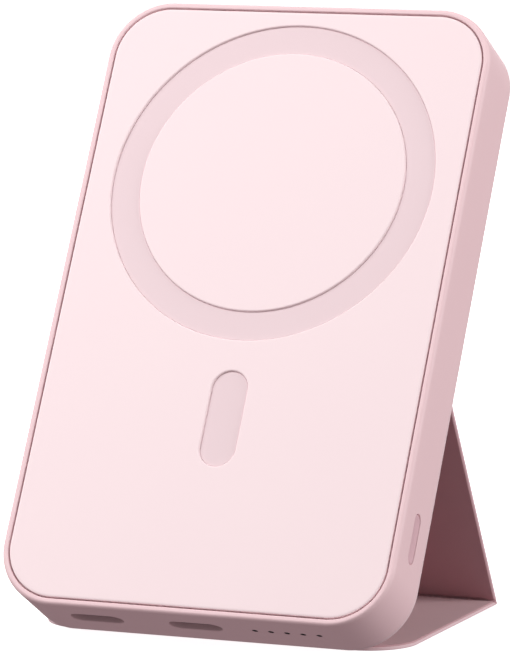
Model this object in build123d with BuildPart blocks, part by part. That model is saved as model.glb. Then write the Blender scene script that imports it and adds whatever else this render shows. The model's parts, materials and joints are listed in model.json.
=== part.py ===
from build123d import *
import os
from math import cos, radians, sin, tan

# Magnetic wireless power bank with a fold-out stand, standing on its stand.
#
# The body leans back on a stand of three thin panels: a base that lies on the table, a leg that
# rises from the crease behind it, and a short magnetic tab that lies on the body's back.  Folded
# away, the three lie flat on the back, end to end.
#
# Row frame, in millimetres: +Z up, +X to the right seen from the front, the front faces -Y.
# The origin is the centre of the base panel's underside, on the table.
#
# Heights inside the body are measured from the outer back face towards the front face, and
# lengths from the bottom edge upwards along the body.

os.makedirs("parts", exist_ok=True)

# ---------------------------------------------------------------- body, outside
body_width = 66.5
body_length = 105.3
body_thickness = 11.9
corner_radius = 10.0
skin_thickness = 0.8
skin_edge_radius = 0.3
floor_thickness = 1.0
wall_thickness = 2.0
lip_width = 1.1
lip_radius = 0.85

# ---------------------------------------------------------------- front panel
panel_thickness = 1.2
panel_gap = 0.25
panel_edge_radius = 0.35
gasket_thickness = 0.1
gasket_width = 0.6
ring_outer_diameter = 55.15
ring_inner_diameter = 45.4
ring_from_top = 31.35
bar_length = 16.1
bar_width = 6.0
bar_below_ring = 41.0
recess_depth = 0.5
recess_edge_radius = 0.3
pad_thickness = 0.2
pad_clearance = 0.02

# ---------------------------------------------------------------- charging module
carrier_thickness = 2.0
carrier_clearance = 0.3
stack_clearance = 0.1
coil_outer_diameter = 43.5
coil_inner_diameter = 20.5
coil_thickness = 0.8
ferrite_diameter = 44.4
ferrite_thickness = 0.6
pocket_clearance = 0.15
ring_magnet_outer_diameter = 54.4
ring_magnet_inner_diameter = 46.4
ring_magnet_thickness = 1.1
ring_magnet_places = 18
ring_magnet_gap = 0.3
bar_magnet_length = 14.0
bar_magnet_width = 4.4
lead_width = 3.0
lead_thickness = 0.3

# ---------------------------------------------------------------- battery
adhesive_thickness = 0.2
adhesive_strip_width = 8.0
adhesive_edge_inset = 8.0
spreader_thickness = 0.15
cell_side_gap = 1.25
cell_corner_radius = 3.0
cell_edge_radius = 1.4
cell_board_gap = 1.7
foam_thickness = 2.9
foam_width = 40.0
foam_inset = 0.8
tab_strip_width = 4.0
tab_strip_thickness = 0.15
tab_strip_spacing = 24.0
tab_strip_overlap = 3.2

# ---------------------------------------------------------------- board
board_thickness = 1.0
board_length = 18.5
board_end_gap = 0.2
board_side_gap = 1.35
board_corner_radius = 7.0
boss_radius = 2.0
screw_radius = 0.8
screw_clearance = 0.05
screw_head_radius = 1.5
screw_head_height = 0.9
screw_from_board_top = 3.2
screw_left = -26.0
screw_right = 20.0
chip_size = 5.0
chip_height = 0.9
chip_place = (-3.0, 13.5)
inductor_size = 7.0
inductor_height = 2.4
inductor_corner_radius = 0.8
inductor_place = (8.5, 13.0)
capacitor_length = 1.6
capacitor_width = 0.8
capacitor_height = 0.8
capacitor_pitch = 2.4
capacitor_place = (-14.0, 14.0)

# ---------------------------------------------------------------- sockets in the bottom wall
port_places = {"left": -16.9, "centre": 0.0}
port_opening_length = 8.9
port_opening_height = 3.2
port_rim_chamfer = 0.15
socket_length = 8.94
socket_height = 3.26
socket_wall = 0.3
socket_depth = 7.3
socket_recess = 1.0
socket_clearance = 0.1
tongue_width = 6.7
tongue_thickness = 0.7
tongue_setback = 0.7
tongue_block_depth = 2.0
tongue_clearance = 0.02

# ---------------------------------------------------------------- charge lights
light_count = 5
light_pitch = 2.7
light_first = 10.1
light_above_socket = 0.2
light_hole_diameter = 1.0
guide_clearance = 0.05
guide_recess = 0.05
guide_bar_gap = 0.2
guide_bar_depth = 1.6
guide_bar_height = 1.5
guide_bar_overhang = 1.2
emitter_length = 1.2
emitter_depth = 0.8
emitter_height = 0.6

# ---------------------------------------------------------------- power button
button_length = 8.0
button_width = 2.6
button_from_bottom = 17.05
button_below_front = 6.0
button_gap = 0.12
button_recess = 0.08
button_travel = 0.3
button_dish_depth = 0.15
flange_overlap = 0.6
flange_thickness = 0.6
flange_gap = 0.05
pusher_radius = 0.8
pusher_length = 0.5
plunger_radius = 0.5
plunger_clearance = 0.1
plunger_reach = 0.45
plunger_inside = 0.6
switch_depth = 3.0
switch_width = 4.5
switch_above_plunger = 0.7

# ---------------------------------------------------------------- stand
stand_angle = 61.0
stand_gap = 0.1
stand_margin = 1.75
cover_thickness = 0.3
plate_thickness = 0.25
lining_thickness = 0.25
plate_inset = 1.5
crease_gap = 0.15
crease_relief = 1.5
tab_length = 10.4
edge_lift = 0.1
hinge_width = 42.0
hinge_strip_length = 6.0
hinge_strip_thickness = 0.3
hinge_strip_from_edge = 0.4
strip_clearance = 0.05
tab_magnet_length = 20.0
tab_magnet_width = 5.0
tab_magnet_spacing = 32.0
latch_magnet_thickness = 0.6

# ---------------------------------------------------------------- worked out from the sizes above
lean = radians(90.0 - stand_angle)
stand_thickness = cover_thickness + plate_thickness + lining_thickness
pivot_standoff = stand_gap + stand_thickness
hinge_height = (pivot_standoff * sin(lean) - edge_lift) / cos(lean)
panel_span = (body_length - hinge_height - stand_margin - tab_length) / 2
stand_width = body_width - 2 * stand_margin
open_tab_start = hinge_height + 2 * panel_span * cos(radians(stand_angle))
closed_tab_start = hinge_height + 2 * panel_span

cavity_floor = skin_thickness + floor_thickness
panel_back = body_thickness - panel_thickness
ledge_height = panel_back - gasket_thickness
carrier_front = panel_back - stack_clearance
carrier_back = carrier_front - carrier_thickness
cell_back = cavity_floor + adhesive_thickness
cell_front = carrier_back - stack_clearance - spreader_thickness
ring_place = body_length - ring_from_top
bar_place = ring_place - bar_below_ring

socket_axis = (skin_thickness + body_thickness) / 2
light_axis = socket_axis + light_above_socket
button_axis = body_thickness - button_below_front
board_front = socket_axis - socket_height / 2
board_back = board_front - board_thickness
board_bottom = wall_thickness + board_end_gap
board_top = board_bottom + board_length
board_half_width = body_width / 2 - wall_thickness - board_side_gap
screw_row = board_top - screw_from_board_top
screw_places = [(screw_left, screw_row), (screw_right, screw_row)]

cell_bottom = board_top + cell_board_gap
cell_top = body_length - wall_thickness - foam_thickness
cell_width = body_width - 2 * wall_thickness - 2 * cell_side_gap
cell_length = cell_top - cell_bottom
cell_middle = (cell_bottom + cell_top) / 2

light_places = [(light_first + i * light_pitch, light_axis) for i in range(light_count)]
light_middle = light_first + (light_count - 1) * light_pitch / 2
switch_face = wall_thickness + flange_gap + flange_thickness + pusher_length + plunger_reach

# ---------------------------------------------------------------- planes and axes of the leaning body
side = Vector(1, 0, 0)
up = Vector(0, sin(lean), cos(lean))
front = Vector(0, -cos(lean), sin(lean))
base_pivot = Vector(0, -panel_span / 2, 0)
bottom_edge = base_pivot + front * pivot_standoff - up * hinge_height

device = Plane(origin=bottom_edge, x_dir=side, z_dir=front)
bottom_wall = Plane(origin=bottom_edge, x_dir=side, z_dir=-up)
right_wall = Plane(origin=bottom_edge + side * (body_width / 2), x_dir=up, z_dir=side)
front_axis = Axis(bottom_edge, front)
up_axis = Axis(bottom_edge, up)


def layer(height):
    """The plane across the body at a height above its outer back face."""
    return device.offset(height)


def body_outline(inset):
    """The body's rounded outline, inset evenly all round."""
    with Locations((0, body_length / 2)):
        RectangleRounded(
            body_width - 2 * inset, body_length - 2 * inset, corner_radius - inset
        )


def capsule_at(place, length, height, rotation=0):
    """A round-ended slot at a place of the sketch, turned by an angle."""
    with Locations(place):
        SlotOverall(length, height, rotation=rotation)


# ================================================================ body: shells

# Tub of the housing: back floor, side walls and the rounded lip round the front panel.
with BuildPart() as rear_housing:
    with BuildSketch(layer(skin_thickness)):
        body_outline(0)
    extrude(amount=body_thickness - skin_thickness)
    fillet(rear_housing.faces().sort_by(front_axis)[-1].edges(), lip_radius)
    with BuildSketch(layer(ledge_height)):
        body_outline(lip_width)
    extrude(amount=body_thickness - ledge_height, mode=Mode.SUBTRACT)
    with BuildSketch(layer(cavity_floor)):
        body_outline(wall_thickness)
    extrude(amount=ledge_height - cavity_floor, mode=Mode.SUBTRACT)
    # bosses under the board, bored for its screws
    with BuildSketch(layer(cavity_floor)):
        with Locations(*screw_places):
            Circle(boss_radius)
            Circle(screw_radius + screw_clearance, mode=Mode.SUBTRACT)
    extrude(amount=board_back - cavity_floor)
    # pockets in the back floor for the magnets that hold the stand's tab
    for tab_start in (open_tab_start, closed_tab_start):
        with BuildSketch(layer(skin_thickness)):
            with Locations((0, tab_start + tab_length / 2)):
                with GridLocations(tab_magnet_spacing, 1, 2, 1):
                    Rectangle(
                        tab_magnet_length + 2 * pocket_clearance,
                        tab_magnet_width + 2 * pocket_clearance,
                    )
        extrude(amount=latch_magnet_thickness + stack_clearance / 2, mode=Mode.SUBTRACT)
    # socket openings, wider behind their rims, where the sockets enter
    with BuildSketch(bottom_wall):
        for port_place in port_places.values():
            capsule_at((port_place, socket_axis), port_opening_length, port_opening_height)
    extrude(amount=-wall_thickness, mode=Mode.SUBTRACT)
    with BuildSketch(bottom_wall.offset(-socket_recess)):
        for port_place in port_places.values():
            capsule_at(
                (port_place, socket_axis),
                socket_length + 2 * socket_clearance,
                socket_height + 2 * socket_clearance,
            )
    extrude(amount=socket_recess - wall_thickness, mode=Mode.SUBTRACT)
    port_rims = rear_housing.faces().sort_by(up_axis)[0].inner_wires()
    chamfer(port_rims.edges(), port_rim_chamfer)
    with BuildSketch(bottom_wall):
        with Locations(*light_places):
            Circle(light_hole_diameter / 2)
    extrude(amount=-wall_thickness, mode=Mode.SUBTRACT)
    with BuildSketch(right_wall):
        capsule_at(
            (button_from_bottom, button_axis),
            button_length + 2 * button_gap,
            button_width + 2 * button_gap,
        )
    extrude(amount=-wall_thickness, mode=Mode.SUBTRACT)
rear_housing.part.label = "rear_housing"
export_step(rear_housing.part, "parts/rear_housing.step")

# Soft skin over the whole back, with a shallow pocket for the stand's hinge strip.
with BuildPart() as back_skin:
    with BuildSketch(layer(0)):
        body_outline(0)
    extrude(amount=skin_thickness)
    fillet(back_skin.faces().sort_by(front_axis)[0].edges(), skin_edge_radius)
    with BuildSketch(layer(0)):
        with Locations((0, hinge_strip_from_edge + hinge_strip_length / 2)):
            Rectangle(hinge_width, hinge_strip_length)
    extrude(amount=hinge_strip_thickness + strip_clearance, mode=Mode.SUBTRACT)
back_skin.part.label = "back_skin"
export_step(back_skin.part, "parts/back_skin.step")

# Strip bonded into the skin, from whose lower edge the base panel hangs.
with BuildPart() as hinge_strip:
    with BuildSketch(layer(strip_clearance)):
        with Locations((0, hinge_strip_from_edge + hinge_strip_length / 2)):
            Rectangle(hinge_width - 2 * strip_clearance, hinge_strip_length - 2 * strip_clearance)
    extrude(amount=hinge_strip_thickness)
hinge_strip.part.label = "hinge_strip"
export_step(hinge_strip.part, "parts/hinge_strip.step")

# Flat front panel with a ring recess and a bar recess.
with BuildPart() as front_panel:
    with BuildSketch(layer(panel_back)):
        body_outline(lip_width + panel_gap)
    extrude(amount=panel_thickness)
    fillet(front_panel.faces().sort_by(front_axis)[-1].edges(), panel_edge_radius)
    with BuildSketch(layer(body_thickness)):
        with Locations((0, ring_place)):
            Circle(ring_outer_diameter / 2)
            Circle(ring_inner_diameter / 2, mode=Mode.SUBTRACT)
        capsule_at((0, bar_place), bar_length, bar_width, rotation=90)
    extrude(amount=-recess_depth, mode=Mode.SUBTRACT)
    bar_centre = device.from_local_coords((0, bar_place, body_thickness))
    front_edges = front_panel.edges().filter_by_position(
        front_axis, body_thickness - recess_edge_radius / 10, body_thickness + recess_edge_radius
    )
    ring_rims = front_edges.filter_by(
        lambda edge: edge.geom_type == GeomType.CIRCLE and edge.radius > ring_inner_diameter / 3
    )
    bar_rims = front_edges.filter_by(
        lambda edge: (edge.center() - bar_centre).length < bar_length / 2
    )
    fillet(ring_rims + bar_rims, recess_edge_radius)
front_panel.part.label = "front_panel"
export_step(front_panel.part, "parts/front_panel.step")

# Thin gasket that bonds the panel to the ledge inside the lip.
with BuildPart() as panel_gasket:
    with BuildSketch(layer(ledge_height)):
        body_outline(lip_width + panel_gap)
        with Locations((0, body_length / 2)):
            RectangleRounded(
                body_width - 2 * (lip_width + panel_gap + gasket_width),
                body_length - 2 * (lip_width + panel_gap + gasket_width),
                corner_radius - (lip_width + panel_gap + gasket_width),
                mode=Mode.SUBTRACT,
            )
    extrude(amount=gasket_thickness)
panel_gasket.part.label = "panel_gasket"
export_step(panel_gasket.part, "parts/panel_gasket.step")

# Soft ring on the floor of the ring recess.
with BuildPart() as ring_pad:
    with BuildSketch(layer(body_thickness - recess_depth)):
        with Locations((0, ring_place)):
            Circle(ring_outer_diameter / 2 - pad_clearance)
            Circle(ring_inner_diameter / 2 + pad_clearance, mode=Mode.SUBTRACT)
    extrude(amount=pad_thickness)
ring_pad.part.label = "ring_pad"
export_step(ring_pad.part, "parts/ring_pad.step")

# Soft bar on the floor of the bar recess.
with BuildPart() as bar_pad:
    with BuildSketch(layer(body_thickness - recess_depth)):
        capsule_at(
            (0, bar_place),
            bar_length - 2 * pad_clearance,
            bar_width - 2 * pad_clearance,
            rotation=90,
        )
    extrude(amount=pad_thickness)
bar_pad.part.label = "bar_pad"
export_step(bar_pad.part, "parts/bar_pad.step")

# ================================================================ body: charging module

ferrite_back = carrier_front - coil_thickness - ferrite_thickness
lead_step = ring_place - ring_magnet_outer_diameter / 2 - 2 * lead_width / 3
lead_landing = board_top - lead_thickness * 4
lead_start = ring_place - coil_outer_diameter / 2
lead_front_height = ferrite_back + ferrite_thickness - stack_clearance + lead_thickness / 2
lead_back_height = carrier_back + lead_thickness / 2

# Moulded plate that carries the coil and the magnets behind the front panel.
with BuildPart() as coil_carrier:
    with BuildSketch(layer(carrier_back)):
        body_outline(wall_thickness + carrier_clearance)
    extrude(amount=carrier_thickness)
    with BuildSketch(layer(ferrite_back)):
        with Locations((0, ring_place)):
            Circle(ferrite_diameter / 2 + pocket_clearance)
    extrude(amount=carrier_front - ferrite_back, mode=Mode.SUBTRACT)
    with BuildSketch(layer(carrier_front)):
        with Locations((0, ring_place)):
            Circle(ring_magnet_outer_diameter / 2 + pocket_clearance)
            Circle(ring_magnet_inner_diameter / 2 - pocket_clearance, mode=Mode.SUBTRACT)
        with Locations((0, bar_place)):
            Rectangle(bar_magnet_width + 2 * pocket_clearance, bar_magnet_length + 2 * pocket_clearance)
    extrude(amount=-ring_magnet_thickness - pocket_clearance, mode=Mode.SUBTRACT)
    # groove for the coil's leads: along the front, through the plate, then along its back
    with BuildSketch(layer(lead_front_height - lead_thickness / 2 - pocket_clearance)):
        with Locations((0, (lead_step + lead_start) / 2)):
            Rectangle(lead_width + 2 * pocket_clearance, lead_start - lead_step + lead_width / 3)
    extrude(amount=carrier_thickness, mode=Mode.SUBTRACT)
    with BuildSketch(layer(carrier_back)):
        with Locations((0, lead_step)):
            Rectangle(lead_width + 2 * pocket_clearance, lead_width / 3)
    extrude(amount=carrier_thickness, mode=Mode.SUBTRACT)
    with BuildSketch(layer(carrier_back)):
        with Locations((0, (lead_step + lead_landing - lead_thickness) / 2)):
            Rectangle(
                lead_width + 2 * pocket_clearance,
                lead_step - lead_landing + lead_thickness + 2 * pocket_clearance,
            )
    extrude(amount=lead_thickness + pocket_clearance, mode=Mode.SUBTRACT)
coil_carrier.part.label = "coil_carrier"
export_step(coil_carrier.part, "parts/coil_carrier.step")

# Ferrite disc that shields the battery from the coil.
with BuildPart() as ferrite_disc:
    with BuildSketch(layer(ferrite_back)):
        with Locations((0, ring_place)):
            Circle(ferrite_diameter / 2)
    extrude(amount=ferrite_thickness - stack_clearance)
ferrite_disc.part.label = "ferrite_disc"
export_step(ferrite_disc.part, "parts/ferrite_disc.step")

# Flat wound charging coil.
with BuildPart() as charging_coil:
    with BuildSketch(layer(ferrite_back + ferrite_thickness - stack_clearance)):
        with Locations((0, ring_place)):
            Circle(coil_outer_diameter / 2)
            Circle(coil_inner_diameter / 2, mode=Mode.SUBTRACT)
    extrude(amount=coil_thickness)
charging_coil.part.label = "charging_coil"
export_step(charging_coil.part, "parts/charging_coil.step")

# Arc magnets round the coil, with one place left open below for the leads.
with BuildPart() as ring_magnets:
    with BuildSketch(layer(carrier_front - ring_magnet_thickness - pocket_clearance)):
        ring_magnet_middle = (ring_magnet_outer_diameter + ring_magnet_inner_diameter) / 4
        ring_magnet_depth = ring_magnet_outer_diameter - ring_magnet_inner_diameter
        with Locations((0, ring_place)):
            Circle(ring_magnet_outer_diameter / 2)
            Circle(ring_magnet_inner_diameter / 2, mode=Mode.SUBTRACT)
            with PolarLocations(ring_magnet_middle, ring_magnet_places, -90 + 180 / ring_magnet_places):
                Rectangle(ring_magnet_depth, ring_magnet_gap, mode=Mode.SUBTRACT)
            with Locations((0, -ring_magnet_middle)):
                Rectangle(
                    ring_magnet_outer_diameter * tan(radians(180 / ring_magnet_places)),
                    2 * ring_magnet_depth,
                    mode=Mode.SUBTRACT,
                )
    extrude(amount=ring_magnet_thickness)
ring_magnets.part.label = "ring_magnets"
export_step(ring_magnets.part, "parts/ring_magnets.step")

# Bar magnet that keeps a phone upright on the ring.
with BuildPart() as bar_magnet:
    with BuildSketch(layer(carrier_front - ring_magnet_thickness - pocket_clearance)):
        with Locations((0, bar_place)):
            Rectangle(bar_magnet_width, bar_magnet_length)
    extrude(amount=ring_magnet_thickness)
bar_magnet.part.label = "bar_magnet"
export_step(bar_magnet.part, "parts/bar_magnet.step")

# Flat leads from the coil through the carrier and down to the board.
with BuildPart() as coil_leads:
    with BuildSketch(Plane(origin=bottom_edge, x_dir=up, z_dir=side)):
        with BuildLine():
            Polyline(
                (lead_start, lead_front_height),
                (lead_step, lead_front_height),
                (lead_step, lead_back_height),
                (lead_landing, lead_back_height),
                (lead_landing, board_front),
            )
        trace(line_width=lead_thickness)
    extrude(amount=lead_width / 2, both=True)
coil_leads.part.label = "coil_leads"
export_step(coil_leads.part, "parts/coil_leads.step")

# ================================================================ body: battery

# Pouch cell that fills the body above the board.
with BuildPart() as battery_cell:
    with BuildSketch(layer(cell_back)):
        with Locations((0, cell_middle)):
            RectangleRounded(cell_width, cell_length, cell_corner_radius)
    extrude(amount=cell_front - cell_back)
    fillet(battery_cell.faces().sort_by(front_axis)[-1].edges(), cell_edge_radius)
battery_cell.part.label = "battery_cell"
export_step(battery_cell.part, "parts/battery_cell.step")

# Graphite sheet that spreads the coil's heat over the cell.
with BuildPart() as heat_spreader:
    with BuildSketch(layer(cell_front)):
        with Locations((0, cell_middle)):
            RectangleRounded(
                cell_width - 2 * cell_edge_radius,
                cell_length - 2 * cell_edge_radius,
                cell_corner_radius - cell_edge_radius,
            )
    extrude(amount=spreader_thickness)
heat_spreader.part.label = "heat_spreader"
export_step(heat_spreader.part, "parts/heat_spreader.step")

# Strips of double-sided tape that hold the cell down.
with BuildPart() as cell_tape:
    with BuildSketch(layer(cavity_floor)):
        with Locations((0, cell_middle)):
            strip_spacing = cell_width - 2 * adhesive_edge_inset - adhesive_strip_width
            with GridLocations(strip_spacing, 1, 2, 1):
                Rectangle(adhesive_strip_width, cell_length - 2 * adhesive_edge_inset)
    extrude(amount=adhesive_thickness)
cell_tape.part.label = "cell_tape"
export_step(cell_tape.part, "parts/cell_tape.step")

# Foam strip that takes up the play at the cell's upper end.
with BuildPart() as end_foam:
    with BuildSketch(layer(cell_back + foam_inset)):
        with Locations((0, cell_top + foam_thickness / 2)):
            Rectangle(foam_width, foam_thickness)
    extrude(amount=cell_front - cell_back - 2 * foam_inset - cell_edge_radius)
end_foam.part.label = "end_foam"
export_step(end_foam.part, "parts/end_foam.step")

# Metal tabs from the cell's lower end onto the board.
with BuildPart() as battery_tabs:
    with BuildSketch(layer(board_front)):
        with Locations((0, (cell_bottom + board_top - tab_strip_overlap) / 2)):
            with GridLocations(tab_strip_spacing, 1, 2, 1):
                Rectangle(tab_strip_width, cell_bottom - board_top + tab_strip_overlap)
    extrude(amount=tab_strip_thickness)
battery_tabs.part.label = "battery_tabs"
export_step(battery_tabs.part, "parts/battery_tabs.step")

# ================================================================ body: board and sockets

# Circuit board across the lower end, drilled for its screws.
with BuildPart() as main_board:
    with BuildSketch(layer(board_back)):
        with Locations((0, board_bottom + body_length / 2)):
            RectangleRounded(2 * board_half_width, body_length, board_corner_radius)
        with Locations((0, board_top + body_length / 2)):
            Rectangle(body_width, body_length, mode=Mode.SUBTRACT)
        with Locations(*screw_places):
            Circle(screw_radius + screw_clearance, mode=Mode.SUBTRACT)
    extrude(amount=board_thickness)
main_board.part.label = "main_board"
export_step(main_board.part, "parts/main_board.step")

# Pan-head screws through the board into the bosses.
with BuildPart() as board_screws:
    with BuildSketch(layer(cavity_floor)):
        with Locations(*screw_places):
            Circle(screw_radius)
    extrude(amount=board_front - cavity_floor)
    with BuildSketch(layer(board_front)):
        with Locations(*screw_places):
            Circle(screw_head_radius)
    extrude(amount=screw_head_height)
board_screws.part.label = "board_screws"
export_step(board_screws.part, "parts/board_screws.step")

# Charging controller.
with BuildPart() as controller_chip:
    with BuildSketch(layer(board_front)):
        with Locations(chip_place):
            Rectangle(chip_size, chip_size)
    extrude(amount=chip_height)
controller_chip.part.label = "controller_chip"
export_step(controller_chip.part, "parts/controller_chip.step")

# Moulded power inductor.
with BuildPart() as power_inductor:
    with BuildSketch(layer(board_front)):
        with Locations(inductor_place):
            RectangleRounded(inductor_size, inductor_size, inductor_corner_radius)
    extrude(amount=inductor_height)
power_inductor.part.label = "power_inductor"
export_step(power_inductor.part, "parts/power_inductor.step")

# Small capacitors beside the controller.
with BuildPart() as capacitors:
    with BuildSketch(layer(board_front)):
        with Locations(capacitor_place):
            with GridLocations(capacitor_pitch, capacitor_pitch, 4, 3):
                Rectangle(capacitor_length, capacitor_width)
    extrude(amount=capacitor_height)
capacitors.part.label = "capacitors"
export_step(capacitors.part, "parts/capacitors.step")

# Reversible sockets: a drawn metal shell, and the moulded block and tongue inside it.
for port_name, port_place in port_places.items():
    with BuildPart() as socket_shell:
        with BuildSketch(bottom_wall.offset(-socket_recess)):
            capsule_at((port_place, socket_axis), socket_length, socket_height)
            with Locations((port_place, socket_axis)):
                SlotOverall(
                    socket_length - 2 * socket_wall,
                    socket_height - 2 * socket_wall,
                    mode=Mode.SUBTRACT,
                )
        extrude(amount=-socket_depth)
    socket_shell.part.label = f"socket_shell_{port_name}"
    export_step(socket_shell.part, f"parts/socket_shell_{port_name}.step")

    with BuildPart() as socket_tongue:
        with BuildSketch(bottom_wall.offset(-socket_recess - socket_depth)):
            capsule_at(
                (port_place, socket_axis),
                socket_length - 2 * socket_wall - 2 * tongue_clearance,
                socket_height - 2 * socket_wall - 2 * tongue_clearance,
            )
        extrude(amount=tongue_block_depth)
        with BuildSketch(bottom_wall.offset(-socket_recess - socket_depth + tongue_block_depth)):
            with Locations((port_place, socket_axis)):
                Rectangle(tongue_width, tongue_thickness)
        extrude(amount=socket_depth - tongue_block_depth - tongue_setback)
    socket_tongue.part.label = f"socket_tongue_{port_name}"
    export_step(socket_tongue.part, f"parts/socket_tongue_{port_name}.step")

# Smoked light guide: one bar behind the wall with a prong in each hole.
with BuildPart() as light_guide:
    with BuildSketch(bottom_wall.offset(-wall_thickness - guide_bar_gap)):
        with Locations((light_middle, light_axis)):
            Rectangle((light_count - 1) * light_pitch + 2 * guide_bar_overhang, guide_bar_height)
    extrude(amount=-guide_bar_depth)
    with BuildSketch(bottom_wall.offset(-guide_recess)):
        with Locations(*light_places):
            Circle(light_hole_diameter / 2 - guide_clearance)
    extrude(amount=guide_recess - wall_thickness - guide_bar_gap)
light_guide.part.label = "light_guide"
export_step(light_guide.part, "parts/light_guide.step")

# Light emitters on the board under the guide.
with BuildPart() as light_emitters:
    with BuildSketch(layer(board_front)):
        emitter_row = wall_thickness + guide_bar_gap + guide_bar_depth / 2
        with Locations(*[(place, emitter_row) for place, height in light_places]):
            Rectangle(emitter_length, emitter_depth)
    extrude(amount=emitter_height)
light_emitters.part.label = "light_emitters"
export_step(light_emitters.part, "parts/light_emitters.step")

# Side-push switch behind the button, bored for its plunger.
with BuildPart() as button_switch:
    switch_middle = body_width / 2 - switch_face - switch_depth / 2
    with BuildSketch(layer(board_front)):
        with Locations((switch_middle, button_from_bottom)):
            Rectangle(switch_depth, switch_width)
    extrude(amount=button_axis - board_front + plunger_radius + switch_above_plunger)
    with BuildSketch(right_wall.offset(-switch_face)):
        with Locations((button_from_bottom, button_axis)):
            Circle(plunger_radius + plunger_clearance)
    extrude(
        amount=-plunger_inside - button_travel - plunger_clearance,
        mode=Mode.SUBTRACT,
    )
button_switch.part.label = "button_switch"
export_step(button_switch.part, "parts/button_switch.step")

# Magnets under the skin that hold the stand's tab, where it stands open and where it is folded.
for latch_name, tab_start in (("open", open_tab_start), ("closed", closed_tab_start)):
    with BuildPart() as latch_magnets:
        with BuildSketch(layer(skin_thickness)):
            with Locations((0, tab_start + tab_length / 2)):
                with GridLocations(tab_magnet_spacing, 1, 2, 1):
                    Rectangle(tab_magnet_length, tab_magnet_width)
        extrude(amount=latch_magnet_thickness)
    latch_magnets.part.label = f"latch_magnets_{latch_name}"
    export_step(latch_magnets.part, f"parts/latch_magnets_{latch_name}.step")

# ================================================================ power button

# Capsule button with a dished face, a flange that keeps it in the wall, and a pusher.
with BuildPart() as power_button:
    button_place = (button_from_bottom, button_axis)
    with BuildSketch(right_wall.offset(-button_recess)):
        capsule_at(button_place, button_length, button_width)
    extrude(amount=button_recess - wall_thickness - flange_gap)
    with BuildSketch(right_wall.offset(-wall_thickness - flange_gap)):
        capsule_at(
            button_place, button_length + 2 * flange_overlap, button_width + 2 * flange_overlap
        )
    extrude(amount=-flange_thickness)
    with BuildSketch(right_wall.offset(-wall_thickness - flange_gap - flange_thickness)):
        with Locations(button_place):
            Circle(pusher_radius)
    extrude(amount=-pusher_length)
    # the dish is the side of a long cylinder that runs along the button
    dish_radius = ((button_width / 2) ** 2 + button_dish_depth**2) / (2 * button_dish_depth)
    dish_centre = body_width / 2 - button_recess - button_dish_depth + dish_radius
    with BuildSketch(Plane(origin=bottom_edge, x_dir=side, z_dir=up).offset(button_from_bottom)):
        with Locations((dish_centre, -button_axis)):
            Circle(dish_radius)
    extrude(amount=button_length, both=True, mode=Mode.SUBTRACT)
power_button.part.label = "power_button"
export_step(power_button.part, "parts/power_button.step")

# Plunger of the switch, which the pusher rests on.
with BuildPart() as switch_plunger:
    plunger_start = wall_thickness + flange_gap + flange_thickness + pusher_length
    with BuildSketch(right_wall.offset(-plunger_start)):
        with Locations(button_place):
            Circle(plunger_radius)
    extrude(amount=-plunger_reach - plunger_inside)
switch_plunger.part.label = "switch_plunger"
export_step(switch_plunger.part, "parts/switch_plunger.step")

# ================================================================ stand

# Each panel's plane has its origin at the pivot it starts from, on the panel's outer face.  Its
# second direction runs along the panel and its third points to the panel's inner face.
leg_angle = radians(2 * stand_angle)
crease_pivot = base_pivot + Vector(0, panel_span, 0)
leg_direction = Vector(0, cos(leg_angle), sin(leg_angle))
tab_pivot = crease_pivot + leg_direction * panel_span
base_plane = Plane(origin=base_pivot, x_dir=side, z_dir=(0, 0, 1))
leg_plane = Plane(origin=crease_pivot, x_dir=side, z_dir=side.cross(leg_direction))
tab_plane = Plane(origin=tab_pivot, x_dir=side, z_dir=front)

# Where the base and the leg fold together, their inner edges are cut back to leave room.
mitre = tan(radians(stand_angle + crease_relief))
round_corner = corner_radius - stand_margin


def stand_layer(plane, length, low, high, start_mitre, end_mitre, start_corner, end_corner, inset):
    """One flat layer of a stand panel, between two heights above the panel's outer face.

    A mitre is the slope of an end's bevel, and a corner is the radius of an end's two corners.
    """
    start = crease_gap + inset
    end = length - crease_gap - inset
    with BuildPart() as stand_piece:
        with BuildSketch(Plane(origin=plane.origin, x_dir=plane.y_dir, z_dir=plane.x_dir)):
            with BuildLine():
                Polyline(
                    (start + low * start_mitre, low),
                    (end - low * end_mitre, low),
                    (end - high * end_mitre, high),
                    (start + high * start_mitre, high),
                    close=True,
                )
            make_face()
        extrude(amount=stand_width / 2 - inset, both=True)
        with BuildSketch(plane) as plan:
            with Locations((0, (start + end) / 2)):
                Rectangle(stand_width - 2 * inset, end - start)
            if start_corner > inset:
                fillet(plan.vertices().group_by(Axis.Y)[0], start_corner - inset)
            if end_corner > inset:
                fillet(plan.vertices().group_by(Axis.Y)[-1], end_corner - inset)
        extrude(amount=stand_thickness, mode=Mode.INTERSECT)
    return stand_piece.part


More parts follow.
